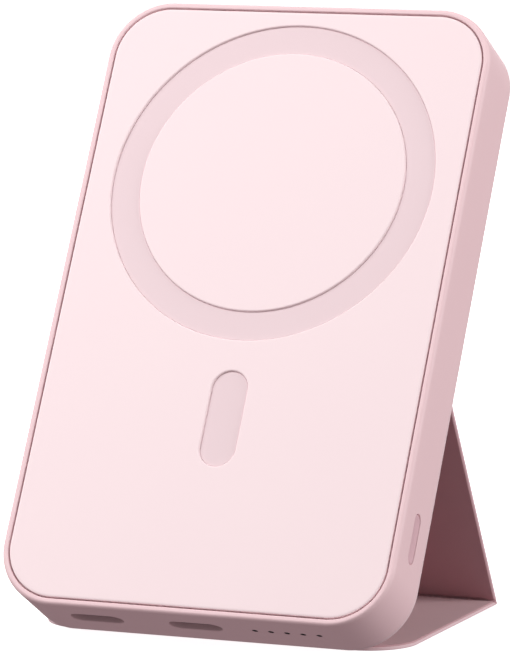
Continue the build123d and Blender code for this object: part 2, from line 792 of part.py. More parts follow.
cover_top = cover_thickness + plate_thickness
stand_panels = {
    # name: plane, length, start mitre, end mitre, start corner, end corner
    "base": (base_plane, panel_span, 0, mitre, round_corner, 0),
    "leg": (leg_plane, panel_span, mitre, 0, 0, 0),
    "tab": (tab_plane, tab_length, 0, 0, 0, round_corner),
}
for panel_name, panel_shape in stand_panels.items():
    panel_plane, panel_length, start_mitre, end_mitre, start_corner, end_corner = panel_shape
    shape = (start_mitre, end_mitre, start_corner, end_corner)
    # the stiffener of the tab is its pair of magnets
    if panel_name == "tab":
        filling_name = "tab_magnets"
        with BuildPart() as tab_magnets:
            with BuildSketch(panel_plane.offset(cover_thickness)):
                with Locations((0, panel_length / 2)):
                    with GridLocations(tab_magnet_spacing, 1, 2, 1):
                        Rectangle(tab_magnet_length, tab_magnet_width)
            extrude(amount=plate_thickness)
        filling = tab_magnets.part
    else:
        filling_name = f"{panel_name}_stiffener"
        filling = stand_layer(
            panel_plane, panel_length, cover_thickness, cover_top, *shape, plate_inset
        )
    filling.label = filling_name
    export_step(filling, f"parts/{filling_name}.step")

    # outer cover, with a shallow pocket for what stiffens the panel
    with BuildPart() as outer_cover:
        add(stand_layer(panel_plane, panel_length, 0, cover_top, *shape, 0))
        add(filling, mode=Mode.SUBTRACT)
    outer_cover.part.label = f"{panel_name}_cover"
    export_step(outer_cover.part, f"parts/{panel_name}_cover.step")

    lining = stand_layer(panel_plane, panel_length, cover_top, stand_thickness, *shape, 0)
    lining.label = f"{panel_name}_lining"
    export_step(lining, f"parts/{panel_name}_lining.step")
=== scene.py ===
"""Looks of a slim magnetic power bank that leans back on its fold-out leather stand.

Every visible piece is a surface worked out with numpy in the body's own plan, in millimetres, and
then carried into the model's frame in metres.  The body leans, so each sub-assembly works on a
Place, which knows where the body's back face, its bottom wall, its right wall and the three
panels of the stand lie.
"""

import json
import logging
from dataclasses import dataclass, field
from enum import Enum
from math import cos, pi, radians, sin, tan
from typing import Iterable, Sequence

import bmesh
import bpy
import numpy as np
from mathutils import Euler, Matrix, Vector
from mathutils.geometry import delaunay_2d_cdt


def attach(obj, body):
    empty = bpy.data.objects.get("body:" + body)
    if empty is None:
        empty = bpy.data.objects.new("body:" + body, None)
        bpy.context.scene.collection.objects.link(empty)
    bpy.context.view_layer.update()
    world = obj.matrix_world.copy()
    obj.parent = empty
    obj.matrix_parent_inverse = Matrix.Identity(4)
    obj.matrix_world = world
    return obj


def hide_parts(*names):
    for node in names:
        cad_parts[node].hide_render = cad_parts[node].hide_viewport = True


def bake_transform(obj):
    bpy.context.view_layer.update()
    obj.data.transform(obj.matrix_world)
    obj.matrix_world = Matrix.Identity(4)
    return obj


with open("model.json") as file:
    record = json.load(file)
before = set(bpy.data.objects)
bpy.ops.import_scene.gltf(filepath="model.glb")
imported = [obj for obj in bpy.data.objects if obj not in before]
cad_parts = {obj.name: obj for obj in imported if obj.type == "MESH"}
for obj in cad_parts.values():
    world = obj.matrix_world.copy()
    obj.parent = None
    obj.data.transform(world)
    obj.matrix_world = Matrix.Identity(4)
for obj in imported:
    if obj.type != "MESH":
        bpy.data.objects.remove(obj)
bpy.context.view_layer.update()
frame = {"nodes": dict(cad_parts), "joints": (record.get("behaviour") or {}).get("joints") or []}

MM = 0.001
WELD = 1e-6
LOG = logging.getLogger("power_bank")


# ============================================================ places and outlines

@dataclass(frozen=True)
class Place:
    """A spot in the model: an origin in mm and three unit axes."""

    origin: np.ndarray
    across: np.ndarray
    along: np.ndarray
    out: np.ndarray

    def put(self, plan: np.ndarray, height: np.ndarray | float) -> np.ndarray:
        """Carries plan points into the model: origin + x across + y along + height out.

        Args:
            plan: points of shape (..., 2), in mm.
            height: their heights over the plan, in mm, of a shape that fits.

        Returns:
            Points of shape (..., 3), in metres.
        """
        heights = np.broadcast_to(height, plan.shape[:-1])[..., None]
        spot = plan[..., :1] * self.across + plan[..., 1:] * self.along + heights * self.out
        return (self.origin + spot) * MM

    def moved(self, x: float, y: float, height: float = 0.0) -> "Place":
        """The same axes with the origin moved along them."""
        origin = self.origin + x * self.across + y * self.along + height * self.out
        return Place(origin, self.across, self.along, self.out)


@dataclass(frozen=True)
class Outline:
    """A rounded outline: for each point its corner's centre, its direction outwards, one radius."""

    centres: np.ndarray
    outward: np.ndarray
    radius: float
    corner_points: int

    def at(self, inset: np.ndarray | float) -> np.ndarray:
        """The outline drawn in by an inset: centre + (radius - inset) times the direction."""
        reach = self.radius - np.asarray(inset, float)[..., None, None]
        return self.centres + reach * self.outward

    def side(self, corner: int) -> int:
        """Number of the straight edge that follows a corner, counted from the lower right one."""
        return (corner + 1) * self.corner_points - 1


def outline_round(corners: Sequence[tuple[float, float]], radius: float, first: float,
                  steps: int) -> Outline:
    """An outline that turns evenly round its corners, counter-clockwise.

    Each corner is an arc of 360 degrees divided by the number of corners, and straight edges
    join the arcs.  A single corner gives a circle.

    Args:
        corners: centres of the arcs, in mm.
        radius: radius of the arcs, in mm.
        first: direction in which the first arc starts, in degrees.
        steps: points along an arc, less one.

    Returns:
        The outline.
    """
    count = len(corners)
    sweep = 2 * pi / count
    points = steps + (count > 1)
    turn = np.linspace(0.0, sweep, steps + 1)[:points]
    angle = radians(first) + np.arange(count)[:, None] * sweep + turn[None, :]
    outward = np.stack([np.cos(angle), np.sin(angle)], axis=-1).reshape(-1, 2)
    centres = np.repeat(np.asarray(corners, float), points, axis=0)
    return Outline(centres, outward, radius, points)


def outline_rectangle(width: float, length: float, radius: float, middle: tuple[float, float],
                      steps: int = 6) -> Outline:
    """A rectangle with rounded corners round a middle point, lower right corner first."""
    x, y = middle
    half_x = width / 2 - radius
    half_y = length / 2 - radius
    corners = [(x + half_x, y - half_y), (x + half_x, y + half_y),
               (x - half_x, y + half_y), (x - half_x, y - half_y)]
    return outline_round(corners, radius, -90.0, steps)


def outline_capsule(length: float, width: float, middle: tuple[float, float],
                    upright: bool = False, steps: int = 24) -> Outline:
    """A round-ended slot round a middle point, lying across or upright."""
    x, y = middle
    reach = (length - width) / 2
    if upright:
        return outline_round([(x, y + reach), (x, y - reach)], width / 2, 0.0, steps)
    return outline_round([(x + reach, y), (x - reach, y)], width / 2, -90.0, steps)


def outline_circle(radius: float, middle: tuple[float, float], steps: int) -> Outline:
    """A circle round a middle point."""
    return outline_round([middle], radius, 0.0, steps)


def arc(centre: tuple[float, float], radius: float, start: float, end: float,
        steps: int = 6) -> np.ndarray:
    """Points of a profile on an arc: centre + radius times (cos, sin), from start to end degrees."""
    angle = np.radians(np.linspace(start, end, steps + 1))
    return np.asarray(centre, float) + radius * np.stack([np.cos(angle), np.sin(angle)], axis=-1)


def profile(*stretches: Iterable) -> np.ndarray:
    """Joins points (inset, height) and arcs of them into one profile."""
    return np.concatenate([np.atleast_2d(np.asarray(stretch, float)) for stretch in stretches])


# ============================================================ meshes

class Surface:
    """One closed piece, gathered from patches that share their edges, then welded."""

    def __init__(self, name: str) -> None:
        """Starts an empty piece of that name."""
        self.name = name
        self.points: list[np.ndarray] = []
        self.faces: list[list[int]] = []
        self.count = 0

    def patch(self, points: np.ndarray, faces: np.ndarray | Sequence[Sequence[int]]) -> None:
        """Adds a patch: its points in metres, and its faces by the patch's own numbering."""
        shifted = [[self.count + corner for corner in face] for face in faces]
        self.points.append(points.reshape(-1, 3))
        self.faces.extend(shifted)
        self.count += len(self.points[-1])

    def grid(self, rings: np.ndarray, skip: Sequence[int] = (), closed: bool = True) -> None:
        """Adds the four-sided faces between rings of points.

        Args:
            rings: points of shape (rings, points in a ring, 3), in metres.
            skip: numbers of the columns that are left open.
            closed: whether each ring joins its last point to its first.
        """
        ring_count, size = rings.shape[:2]
        column = np.setdiff1d(np.arange(size if closed else size - 1), np.asarray(skip, int))
        row = np.arange(ring_count - 1)[:, None] * size
        after = (column + 1) % size
        corners = [row + column, row + after, row + size + after, row + size + column]
        self.patch(rings, np.stack(corners, axis=-1).reshape(-1, 4).tolist())

    def loft(self, place: Place, outline: Outline, line: np.ndarray,
             skip: Sequence[int] = ()) -> None:
        """Carries a profile of (inset, height) round an outline: ring i is the outline at inset i."""
        self.grid(place.put(outline.at(line[:, 0]), line[:, 1, None]), skip)

    def sheet(self, place: Place, height: float, outer: np.ndarray,
              holes: Sequence[np.ndarray] = ()) -> None:
        """Fills a flat face between an outer loop and convex holes with triangles.

        A triangle stays unless its centre is on the inner side of every edge of some hole.

        Args:
            place: where the plan lies.
            height: height of the face over the plan, in mm.
            outer: points of the outer loop, in plan.
            holes: points of each hole, counter-clockwise.
        """
        loops = [outer, *holes]
        starts = np.cumsum([0] + [len(loop) for loop in loops])
        edges = [(int(start + i), int(start + (i + 1) % len(loop)))
                 for start, loop in zip(starts, loops) for i in range(len(loop))]
        flat = [Vector(point) for point in np.concatenate(loops).tolist()]
        found, _, triangles, *_ = delaunay_2d_cdt(flat, edges, [], 1, 1e-5, False)
        plan = np.array([tuple(point) for point in found])
        corners = np.array(triangles)
        middle = plan[corners].mean(axis=1)
        keep = np.ones(len(corners), bool)
        for hole in holes:
            edge = np.roll(hole, -1, axis=0) - hole
            away = middle[:, None] - hole[None]
            inner = edge[:, 0] * away[..., 1] - edge[:, 1] * away[..., 0]
            keep &= ~(inner > -1e-9).all(axis=1)
        self.patch(place.put(plan, height), corners[keep].tolist())

    def make(self, material: bpy.types.Material, smooth: float = 38.0) -> bpy.types.Object:
        """Welds the patches into a piece with its faces outwards and its shading kept even.

        Flat faces keep their own direction, because each corner's shading leans on the largest
        faces that meet there.

        Args:
            material: finish of the piece.
            smooth: edges that turn by more degrees than this stay sharp.

        Returns:
            The new object, linked to the scene.
        """
        mesh = bpy.data.meshes.new(self.name)
        mesh.from_pydata(np.concatenate(self.points).tolist(), [], self.faces)
        work = bmesh.new()
        work.from_mesh(mesh)
        bmesh.ops.remove_doubles(work, verts=work.verts, dist=WELD)
        bmesh.ops.dissolve_degenerate(work, edges=work.edges, dist=WELD / 10)
        bmesh.ops.recalc_face_normals(work, faces=work.faces)
        open_edges = sum(not edge.is_manifold for edge in work.edges)
        work.to_mesh(mesh)
        work.free()
        if open_edges:
            LOG.warning("%s has %d open edges", self.name, open_edges)
        mesh.shade_smooth()
        mesh.set_sharp_from_angle(angle=radians(smooth))
        mesh.materials.append(material)
        piece = bpy.data.objects.new(self.name, mesh)
        bpy.context.scene.collection.objects.link(piece)
        even = piece.modifiers.new("even_shading", "WEIGHTED_NORMAL")
        even.mode = "FACE_AREA"
        even.keep_sharp = True
        return piece


def finish_piece(piece: bpy.types.Object, body: str, slot: str, *nodes: str) -> None:
    """Rides a rigid piece on its body and hides what it stands for."""
    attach(piece, body)
    if nodes:
        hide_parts(*nodes)
    LOG.info("%s: %d faces on %s", piece.name, len(piece.data.polygons), body)


# ============================================================ materials

def linear(colour: str) -> tuple[float, float, float, float]:
    """Turns an sRGB hex colour into the linear values that a shader takes."""
    parts = np.array([int(colour[i:i + 2], 16) for i in (0, 2, 4)]) / 255
    low = parts / 12.92
    high = ((parts + 0.055) / 1.055) ** 2.4
    return (*np.where(parts <= 0.04045, low, high).tolist(), 1.0)


def blank_material(name: str) -> tuple[bpy.types.Material, bpy.types.NodeTree]:
    """A new material and its node tree, emptied."""
    material = bpy.data.materials.new(name)
    material.use_nodes = True
    material.node_tree.nodes.clear()
    return material, material.node_tree


def per_mm(size: float) -> float:
    """Scale of a pattern whose features are that many millimetres across."""
    return 1.0 / (size * MM)


def add(tree: bpy.types.NodeTree, kind: str, values: dict | None = None,
        links: dict | None = None, **settings: object) -> bpy.types.Node:
    """Adds a node with its settings, socket values and links.

    Args:
        tree: the material's or world's nodes.
        kind: type of the node.
        values: numbers and colours for its inputs, by name or number.
        links: output sockets that feed its inputs, by name or number.
        settings: attributes of the node itself.

    Returns:
        The new node.
    """
    made = tree.nodes.new(kind)
    for name, setting in settings.items():
        setattr(made, name, setting)
    for key, value in (values or {}).items():
        made.inputs[key].default_value = value
    for key, output in (links or {}).items():
        tree.links.new(output, made.inputs[key])
    return made


class Grain(Enum):
    """How a surface's fine relief is formed."""

    SPARK = "noise"
    PEBBLE = "voronoi"


@dataclass(frozen=True)
class Finish:
    """A plain finish: one colour that drifts slightly, a fine relief, and its gloss.

    The relief is a noise for moulded, painted and ground surfaces, or cells for leather.  Sizes
    are in millimetres.
    """

    name: str
    colour: str
    drift: str
    roughness: float
    grain_size: float
    grain_depth: float
    grain: Grain = Grain.SPARK
    drift_size: float = 12.0
    metallic: float = 0.0
    ior: float = 1.5
    sheen: float = 0.0
    sheen_roughness: float = 0.5
    coat: float = 0.0
    roughness_spread: float = 0.06
    stretch: tuple[float, float, float] = (1.0, 1.0, 1.0)

    def make(self) -> bpy.types.Material:
        """Builds the node material of this finish."""
        material, tree = blank_material(self.name)
        spot = add(tree, "ShaderNodeTexCoord").outputs["Object"]
        if self.stretch != (1.0, 1.0, 1.0):
            spot = add(tree, "ShaderNodeMapping", {"Scale": self.stretch},
                       {"Vector": spot}).outputs["Vector"]
        cloud = add(tree, "ShaderNodeTexNoise",
                    {"Scale": per_mm(self.drift_size), "Detail": 3.0, "Roughness": 0.5},
                    {"Vector": spot})
        tint = add(tree, "ShaderNodeMix", {6: linear(self.colour), 7: linear(self.drift)},
                   {0: cloud.outputs["Fac"]}, data_type="RGBA")
        if self.grain is Grain.PEBBLE:
            relief = add(tree, "ShaderNodeTexVoronoi",
                         {"Scale": per_mm(self.grain_size), "Smoothness": 0.6},
                         {"Vector": spot}, feature="SMOOTH_F1").outputs["Distance"]
        else:
            relief = add(tree, "ShaderNodeTexNoise",
                         {"Scale": per_mm(self.grain_size), "Detail": 2.0, "Roughness": 0.55},
                         {"Vector": spot}).outputs["Fac"]
        gloss = add(tree, "ShaderNodeMapRange",
                    {"To Min": self.roughness - self.roughness_spread,
                     "To Max": self.roughness + self.roughness_spread}, {"Value": relief})
        bump = add(tree, "ShaderNodeBump",
                   {"Strength": 1.0, "Distance": self.grain_depth * MM}, {"Height": relief})
        values = {"Metallic": self.metallic, "Sheen Weight": self.sheen,
                  "Sheen Roughness": self.sheen_roughness, "Coat Weight": self.coat}
        if not self.metallic:
            values["IOR"] = self.ior
        shader = add(tree, "ShaderNodeBsdfPrincipled", values,
                     {"Base Color": tint.outputs[2], "Roughness": gloss.outputs["Result"],
                      "Normal": bump.outputs["Normal"]})
        add(tree, "ShaderNodeOutputMaterial", None, {"Surface": shader.outputs["BSDF"]})
        return material


# Soft-touch lacquer on moulded polycarbonate: matte, even, with a very fine sprayed grain.
LACQUER = Finish("soft_touch_lacquer", "EECCD0", "F0CFD3", 0.56, 0.35, 0.004,
                 drift_size=18.0)
# Silicone-coated flat panel: paler and a little smoother than the housing.
PANEL = Finish("silicone_coated_panel", "F8E2E5", "F9E4E6", 0.60, 0.35, 0.003,
               drift_size=22.0)
# Moulded silicone inlay, slightly deeper in colour and more matte than the panel.
INLAY = Finish("moulded_silicone_inlay", "EAD1D5", "ECD4D8", 0.62, 0.30, 0.003,
               drift_size=14.0)
# The button is moulded in a deeper rose and polished a little more.
BUTTON = Finish("moulded_rose_polycarbonate", "DDB4BC", "DFB8BF", 0.40, 0.30, 0.002,
                drift_size=4.0)
# Silicone skin over the back, soft and dusty.
SKIN = Finish("silicone_back_skin", "E9CCD0", "EBD0D3", 0.62, 0.40, 0.004,
              drift_size=16.0, sheen=0.05)
# Split leather with a pressed polyurethane face: fine pebbles and a low sheen.
LEATHER = Finish("pressed_leather", "EBCACF", "EDCED3", 0.55, 0.45, 0.02,
                 Grain.PEBBLE, sheen=0.1)
# Microfibre lining: dusty, with a fine nap.
MICROFIBRE = Finish("microfibre_lining", "C5999F", "C99DA3", 0.82, 0.28, 0.01,
                    sheen=0.25, drift_size=6.0)
# Greyboard that stiffens the panels.
GREYBOARD = Finish("pressed_greyboard", "8F8880", "A39B92", 0.9, 0.6, 0.03)
# Closed-cell foam, dark and porous.
FOAM = Finish("closed_cell_foam", "2B2A2D", "36353A", 0.92, 0.5, 0.08, Grain.PEBBLE)
# Glass-filled nylon: dull grey with a faint fibre streak.
NYLON = Finish("glass_filled_nylon", "C9C6C4", "BDB9B6", 0.6, 0.4, 0.01,
               stretch=(1.0, 0.25, 1.0))
# Sintered ferrite: near black and slightly sparkling.
FERRITE = Finish("sintered_ferrite", "2A2726", "383433", 0.55, 0.25, 0.01)
# Nickel plating over the magnets: bright, with soft scuffs.
NICKEL = Finish("nickel_plate", "C8C6C0", "B4B2AC", 0.26, 0.3, 0.002, metallic=1.0)
# Drawn stainless steel of the sockets: brushed along the draw.
STEEL = Finish("drawn_stainless_steel", "6E666A", "5C5558", 0.42, 0.2, 0.003,
               metallic=1.0, stretch=(1.0, 0.2, 0.2))
# Hard gold flash on the contacts: warm and smooth.
GOLD = Finish("gold_flash", "D8B36A", "C9A055", 0.28, 0.2, 0.001, metallic=1.0)
# Moulded liquid-crystal polymer of the socket tongues: dark, satin.
POLYMER = Finish("moulded_socket_polymer", "4A3E42", "3F3539", 0.5, 0.25, 0.004)
# Aluminium laminate of the pouch cell: silvery with soft creases.
LAMINATE = Finish("aluminium_laminate", "B9BBBE", "A7A9AC", 0.34, 5.0, 0.12,
                  metallic=0.9, drift_size=9.0)
# Pressed graphite sheet: dark grey with a metallic lustre.
GRAPHITE = Finish("pressed_graphite", "3C3D40", "2F3033", 0.42, 0.8, 0.01, metallic=0.6)
# Acrylic tape, milky and slightly wavy.
TAPE = Finish("acrylic_tape", "D9D4C4", "E3DFD2", 0.35, 2.0, 0.03)
# Smoked acrylic of the light guide: nearly black while the lights are off.
SMOKED = Finish("smoked_acrylic", "070505", "0B0808", 0.5, 0.4, 0.001, ior=1.2)
# Encapsulating resin of the emitters: pale yellow and clear-faced.
RESIN = Finish("emitter_resin", "E6DA9A", "EFE6B4", 0.25, 0.3, 0.002, coat=0.4)
# Black mould compound of the chips: matte with a fine sparkle.
MOULD = Finish("black_mould_compound", "1E1F21", "27282B", 0.62, 0.15, 0.006)
# Fired ceramic of the capacitors: sandy brown.
CERAMIC = Finish("fired_ceramic", "A58A6C", "B59A7B", 0.5, 0.2, 0.004, drift_size=0.8)
# Zinc-plated steel of the screws.
ZINC = Finish("zinc_plated_steel", "B8BAB6", "A4A6A0", 0.32, 0.2, 0.003, metallic=1.0)


@dataclass(frozen=True)
class WoundCopper:
    """Enamelled copper wire wound flat: rings of wire round the coil's middle."""

    name: str
    wire: float
    middle: np.ndarray
    out: np.ndarray

    def make(self) -> bpy.types.Material:
        """Rings: the sine of the distance from the middle, one wave for each wire. The same wave
        darkens the copper in the grooves between the turns, as painted shade.
        """
        material, tree = blank_material(self.name)
        spot = add(tree, "ShaderNodeTexCoord").outputs["Object"]
        turn = Vector(self.out.tolist()).rotation_difference(Vector((0, 0, 1))).to_euler()
        moved = add(tree, "ShaderNodeMapping",
                    {"Location": tuple((-self.middle * MM).tolist())}, {"Vector": spot})
        level = add(tree, "ShaderNodeMapping", {"Rotation": tuple(turn)},
                    {"Vector": moved.outputs["Vector"]})
        rings = add(tree, "ShaderNodeTexWave", {"Scale": per_mm(self.wire) / 20 * pi,
                                                "Distortion": 0.0},
                    {"Vector": level.outputs["Vector"]}, wave_type="RINGS",
                    rings_direction="Z")
        # painted shade: the darker copper lies where the wave is low, in the grooves between the
        # turns
        tint = add(tree, "ShaderNodeMix", {6: linear("6E3A1E"), 7: linear("C77B45")},
                   {0: rings.outputs["Fac"]}, data_type="RGBA")
        bump = add(tree, "ShaderNodeBump", {"Strength": 1.0, "Distance": self.wire * MM / 4},
                   {"Height": rings.outputs["Fac"]})
        shader = add(tree, "ShaderNodeBsdfPrincipled",
                     {"Metallic": 1.0, "Roughness": 0.3, "Coat Weight": 0.4},
                     {"Base Color": tint.outputs[2], "Normal": bump.outputs["Normal"]})
        add(tree, "ShaderNodeOutputMaterial", None, {"Surface": shader.outputs["BSDF"]})
        return material


@dataclass(frozen=True)
class SolderMask:
    """Green solder mask over etched tracks."""

    name: str
    track: float

    def make(self) -> bpy.types.Material:
        """Tracks: the edges of square cells, raised and paler than the mask between them."""
        material, tree = blank_material(self.name)
        spot = add(tree, "ShaderNodeTexCoord").outputs["Object"]
        cells = add(tree, "ShaderNodeTexVoronoi", {"Scale": per_mm(self.track * 8)},
                    {"Vector": spot}, feature="F1", distance="CHEBYCHEV")
        edge = add(tree, "ShaderNodeMapRange", {"From Min": 0.32, "From Max": 0.36},
                   {"Value": cells.outputs["Distance"]})
        tint = add(tree, "ShaderNodeMix", {6: linear("0E3B24"), 7: linear("1C5A38")},
                   {0: edge.outputs["Result"]}, data_type="RGBA")
        bump = add(tree, "ShaderNodeBump", {"Strength": 0.6, "Distance": 0.03 * MM},
                   {"Height": edge.outputs["Result"]})
        shader = add(tree, "ShaderNodeBsdfPrincipled", {"Roughness": 0.35, "IOR": 1.5},
                     {"Base Color": tint.outputs[2], "Normal": bump.outputs["Normal"]})
        add(tree, "ShaderNodeOutputMaterial", None, {"Surface": shader.outputs["BSDF"]})
        return material


# ============================================================ the body

@dataclass(frozen=True)
class BodySizes:
    """Outside sizes of the body in mm, and where it stands."""

    width: float = 66.5
    length: float = 105.3
    thickness: float = 11.9
    corner: float = 10.0
    skin: float = 0.8
    floor: float = 1.0
    wall: float = 2.0
    lip: float = 1.1
    lip_radius: float = 0.85
    ledge: float = 10.6
    ring_from_top: float = 31.35
    stand_angle: float = 61.0
    tab_length: float = 10.4
    standoff: float = 0.9
    edge_lift: float = 0.1
    corner_steps: int = 40

    @property
    def middle(self) -> tuple[float, float]:
        """Middle of the body in its plan."""
        return (0.0, self.length / 2)

    @property
    def ring_place(self) -> float:
        """Height of the ring's centre over the bottom edge."""
        return self.length - self.ring_from_top

    @property
    def lean(self) -> float:
        """Angle by which the body leans back, in radians."""
        return radians(90.0 - self.stand_angle)

    @property
    def hinge_height(self) -> float:
        """How far the stand's first pivot is over the bottom edge, along the back."""
        return (self.standoff * sin(self.lean) - self.edge_lift) / cos(self.lean)

    def outline(self, inset: float = 0.0) -> Outline:
        """The body's outline with a fixed corner centre, drawn in by an inset."""
        return outline_rectangle(self.width - 2 * inset, self.length - 2 * inset,
                                 self.corner - inset, self.middle, self.corner_steps)

    def places(self) -> dict[str, Place]:
        """Places of the body: its back face, its bottom wall and its right wall."""
        side = np.array([1.0, 0.0, 0.0])
        up = np.array([0.0, sin(self.lean), cos(self.lean)])
        front = np.array([0.0, -cos(self.lean), sin(self.lean)])
        pivot = joint_spot("base_hinge")
        bottom = pivot + front * self.standoff - up * self.hinge_height
        right = bottom + side * self.width / 2
        return {
            "device": Place(bottom, side, up, front),
            "bottom": Place(bottom, side, front, -up),
            "right": Place(right, up, front, side),
        }


def joint_spot(name: str) -> np.ndarray:
    """Where a joint's pivot is, in mm."""
    joint = next(joint for joint in frame["joints"] if joint["name"] == name)
    return np.array(joint["pos_m"]) / MM


@dataclass
class Housing:
    """Tub of the body with its rounded lip, openings, bosses and magnet pockets."""

    sizes: BodySizes
    places: dict[str, Place]
    edge_break: float = 0.1
    lip_break: float = 0.2
    lip_reach: float = 0.6
    port_places: dict[str, float] = field(
        default_factory=lambda: {"left": -16.9, "centre": 0.0})
    port_length: float = 8.9
    port_height: float = 3.2
    port_axis: float = 6.35
    port_rim: float = 0.2
    port_step_depth: float = 1.0
    port_step: float = 0.13
    light_first: float = 10.1
    light_pitch: float = 2.7
    light_count: int = 5
    light_axis: float = 6.55
    light_hole: float = 1.0
    light_rim: float = 0.06
    button_place: tuple[float, float] = (17.05, 5.9)
    button_length: float = 8.24
    button_width: float = 2.84
    button_rim: float = 0.12
    boss_places: tuple[tuple[float, float], ...] = ((-26.0, 17.5), (20.0, 17.5))
    boss_radius: float = 2.0
    bore_radius: float = 0.85
    boss_top: float = 3.72
    magnet_length: float = 20.3
    magnet_width: float = 5.3
    magnet_spacing: float = 32.0
    magnet_depth: float = 0.65
    magnet_corner: float = 0.3

    def magnet_rows(self) -> tuple[float, float]:
        """Middles of the tab along the back: with the stand open, and folded flat."""
        device = self.places["device"]
        start = (joint_spot("tab_crease") - device.origin) @ device.along
        span = np.linalg.norm(joint_spot("leg_crease") - joint_spot("base_hinge"))
        folded = self.sizes.hinge_height + 2 * span
        return start + self.sizes.tab_length / 2, folded + self.sizes.tab_length / 2

    def light_places(self) -> list[tuple[float, float]]:
        """Centres of the light holes on the bottom wall."""
        steps = range(self.light_count)
        return [(self.light_first + step * self.light_pitch, self.light_axis) for step in steps]

    def build(self) -> Surface:
        """Builds the tub: lip profile round the outline, and walls pierced by their openings."""
        sizes = self.sizes
        device = self.places["device"]
        tub = Surface("rear_housing_shell")
        outline = sizes.outline()
        bottom_side = outline.side(3)
        right_side = outline.side(0)
        wall_low = sizes.skin + self.edge_break
        wall_high = sizes.thickness - sizes.lip_radius
        tub.loft(device, outline, arc((self.edge_break, wall_low), self.edge_break, 270, 180, 4))
        tub.loft(device, outline, profile((0, wall_low), (0, wall_high)),
                 (bottom_side, right_side))
        lip_turn = sizes.lip - self.lip_break
        quarter = arc((0, 0), 1.0, 180, 90, 20)
        lip_fall = quarter * (self.lip_reach, sizes.lip_radius) + (self.lip_reach, wall_high)
        tub.loft(device, outline, profile(
            lip_fall,
            arc((lip_turn, sizes.thickness - self.lip_break), self.lip_break, 90, 0, 4),
            (sizes.lip, sizes.ledge), (sizes.wall, sizes.ledge)))
        floor = sizes.skin + sizes.floor
        tub.loft(device, outline, profile((sizes.wall, sizes.ledge), (sizes.wall, floor)),
                 (bottom_side, right_side))
        self.floor(tub, outline, floor)
        self.bottom_wall(tub, wall_low, wall_high, floor)
        self.right_wall(tub, wall_low, wall_high, floor)
        return tub

    def floor(self, tub: Surface, outline: Outline, floor: float) -> None:
        """Adds the back floor, with the screw bosses inside and the magnet pockets outside."""
        sizes = self.sizes
        device = self.places["device"]
        bosses = [outline_circle(self.boss_radius, spot, 32) for spot in self.boss_places]
        tub.sheet(device, floor, outline.at(sizes.wall), [boss.at(0) for boss in bosses])
        bore = self.boss_radius - self.bore_radius
        for boss in bosses:
            tub.loft(device, boss, profile((0, floor), (0, self.boss_top),
                                           (bore, self.boss_top), (bore, floor)))
            tub.sheet(device, floor, boss.at(bore))
        pockets = [outline_rectangle(self.magnet_length, self.magnet_width, self.magnet_corner,
                                     (side * self.magnet_spacing / 2, row), 3)
                   for row in self.magnet_rows() for side in (-1, 1)]
        tub.sheet(device, sizes.skin, outline.at(self.edge_break),
                  [pocket.at(0) for pocket in pockets])
        for pocket in pockets:
            top = sizes.skin + self.magnet_depth
            tub.loft(device, pocket, profile((0, sizes.skin), (0, top)))
            tub.sheet(device, top, pocket.at(0))

    def pierced(self, tub: Surface, wall: Place, reach: tuple[float, float],
                outside: tuple[float, float], inside: tuple[float, float],
                tunnels: Sequence[tuple[Outline, np.ndarray]]) -> None:
        """Adds a wall's flat outer and inner faces and the tunnels between them.

        Args:
            tub: the piece that gets them.
            wall: place of the wall's outer face.
            reach: start and end of the flat stretch along the wall.
            outside: lowest and highest edge of the outer face.
            inside: lowest and highest edge of the inner face.
            tunnels: outline and profile of each opening, from the outer face to the inner one.
        """
        start, end = reach
        faces = ((0.0, outside, 0), (-self.sizes.wall, inside, -1))
        for height, (low, high), turn in faces:
            edge = np.array([(start, low), (end, low), (end, high), (start, high)])
            holes = [outline.at(line[turn, 0]) for outline, line in tunnels]
            tub.sheet(wall, height, edge, holes)
        for outline, line in tunnels:
            tub.loft(wall, outline, line)

    def bottom_wall(self, tub: Surface, low: float, high: float, floor: float) -> None:
        """Adds the bottom wall with its two socket openings and the light holes."""
        sizes = self.sizes
        tunnels = []
        for spot in self.port_places.values():
            outline = outline_capsule(self.port_length, self.port_height, (spot, self.port_axis))
            line = profile(arc((-self.port_rim, -self.port_rim), self.port_rim, 90, 0, 6),
                           (0, -self.port_step_depth),
                           (-self.port_step, -self.port_step_depth),
                           (-self.port_step, -sizes.wall))
            tunnels.append((outline, line))
        for spot in self.light_places():
            outline = outline_circle(self.light_hole / 2, spot, 32)
            line = profile(arc((-self.light_rim, -self.light_rim), self.light_rim, 90, 0, 3),
                           (0, -sizes.wall))
            tunnels.append((outline, line))
        reach = sizes.width / 2 - sizes.corner
        self.pierced(tub, self.places["bottom"], (-reach, reach), (low, high),
                     (floor, sizes.ledge), tunnels)

    def right_wall(self, tub: Surface, low: float, high: float, floor: float) -> None:
        """Adds the right wall with the button's opening."""
        sizes = self.sizes
        outline = outline_capsule(self.button_length, self.button_width, self.button_place)
        line = profile(arc((-self.button_rim, -self.button_rim), self.button_rim, 90, 0, 5),
                       (0, -sizes.wall))
        reach = (sizes.corner, sizes.length - sizes.corner)
        self.pierced(tub, self.places["right"], reach, (low, high), (floor, sizes.ledge),
                     [(outline, line)])

    def dress(self) -> None:
        """Makes the tub in its lacquer."""
        finish_piece(self.build().make(LACQUER.make()), "body", "housing_plastic",
                     "rear_housing")


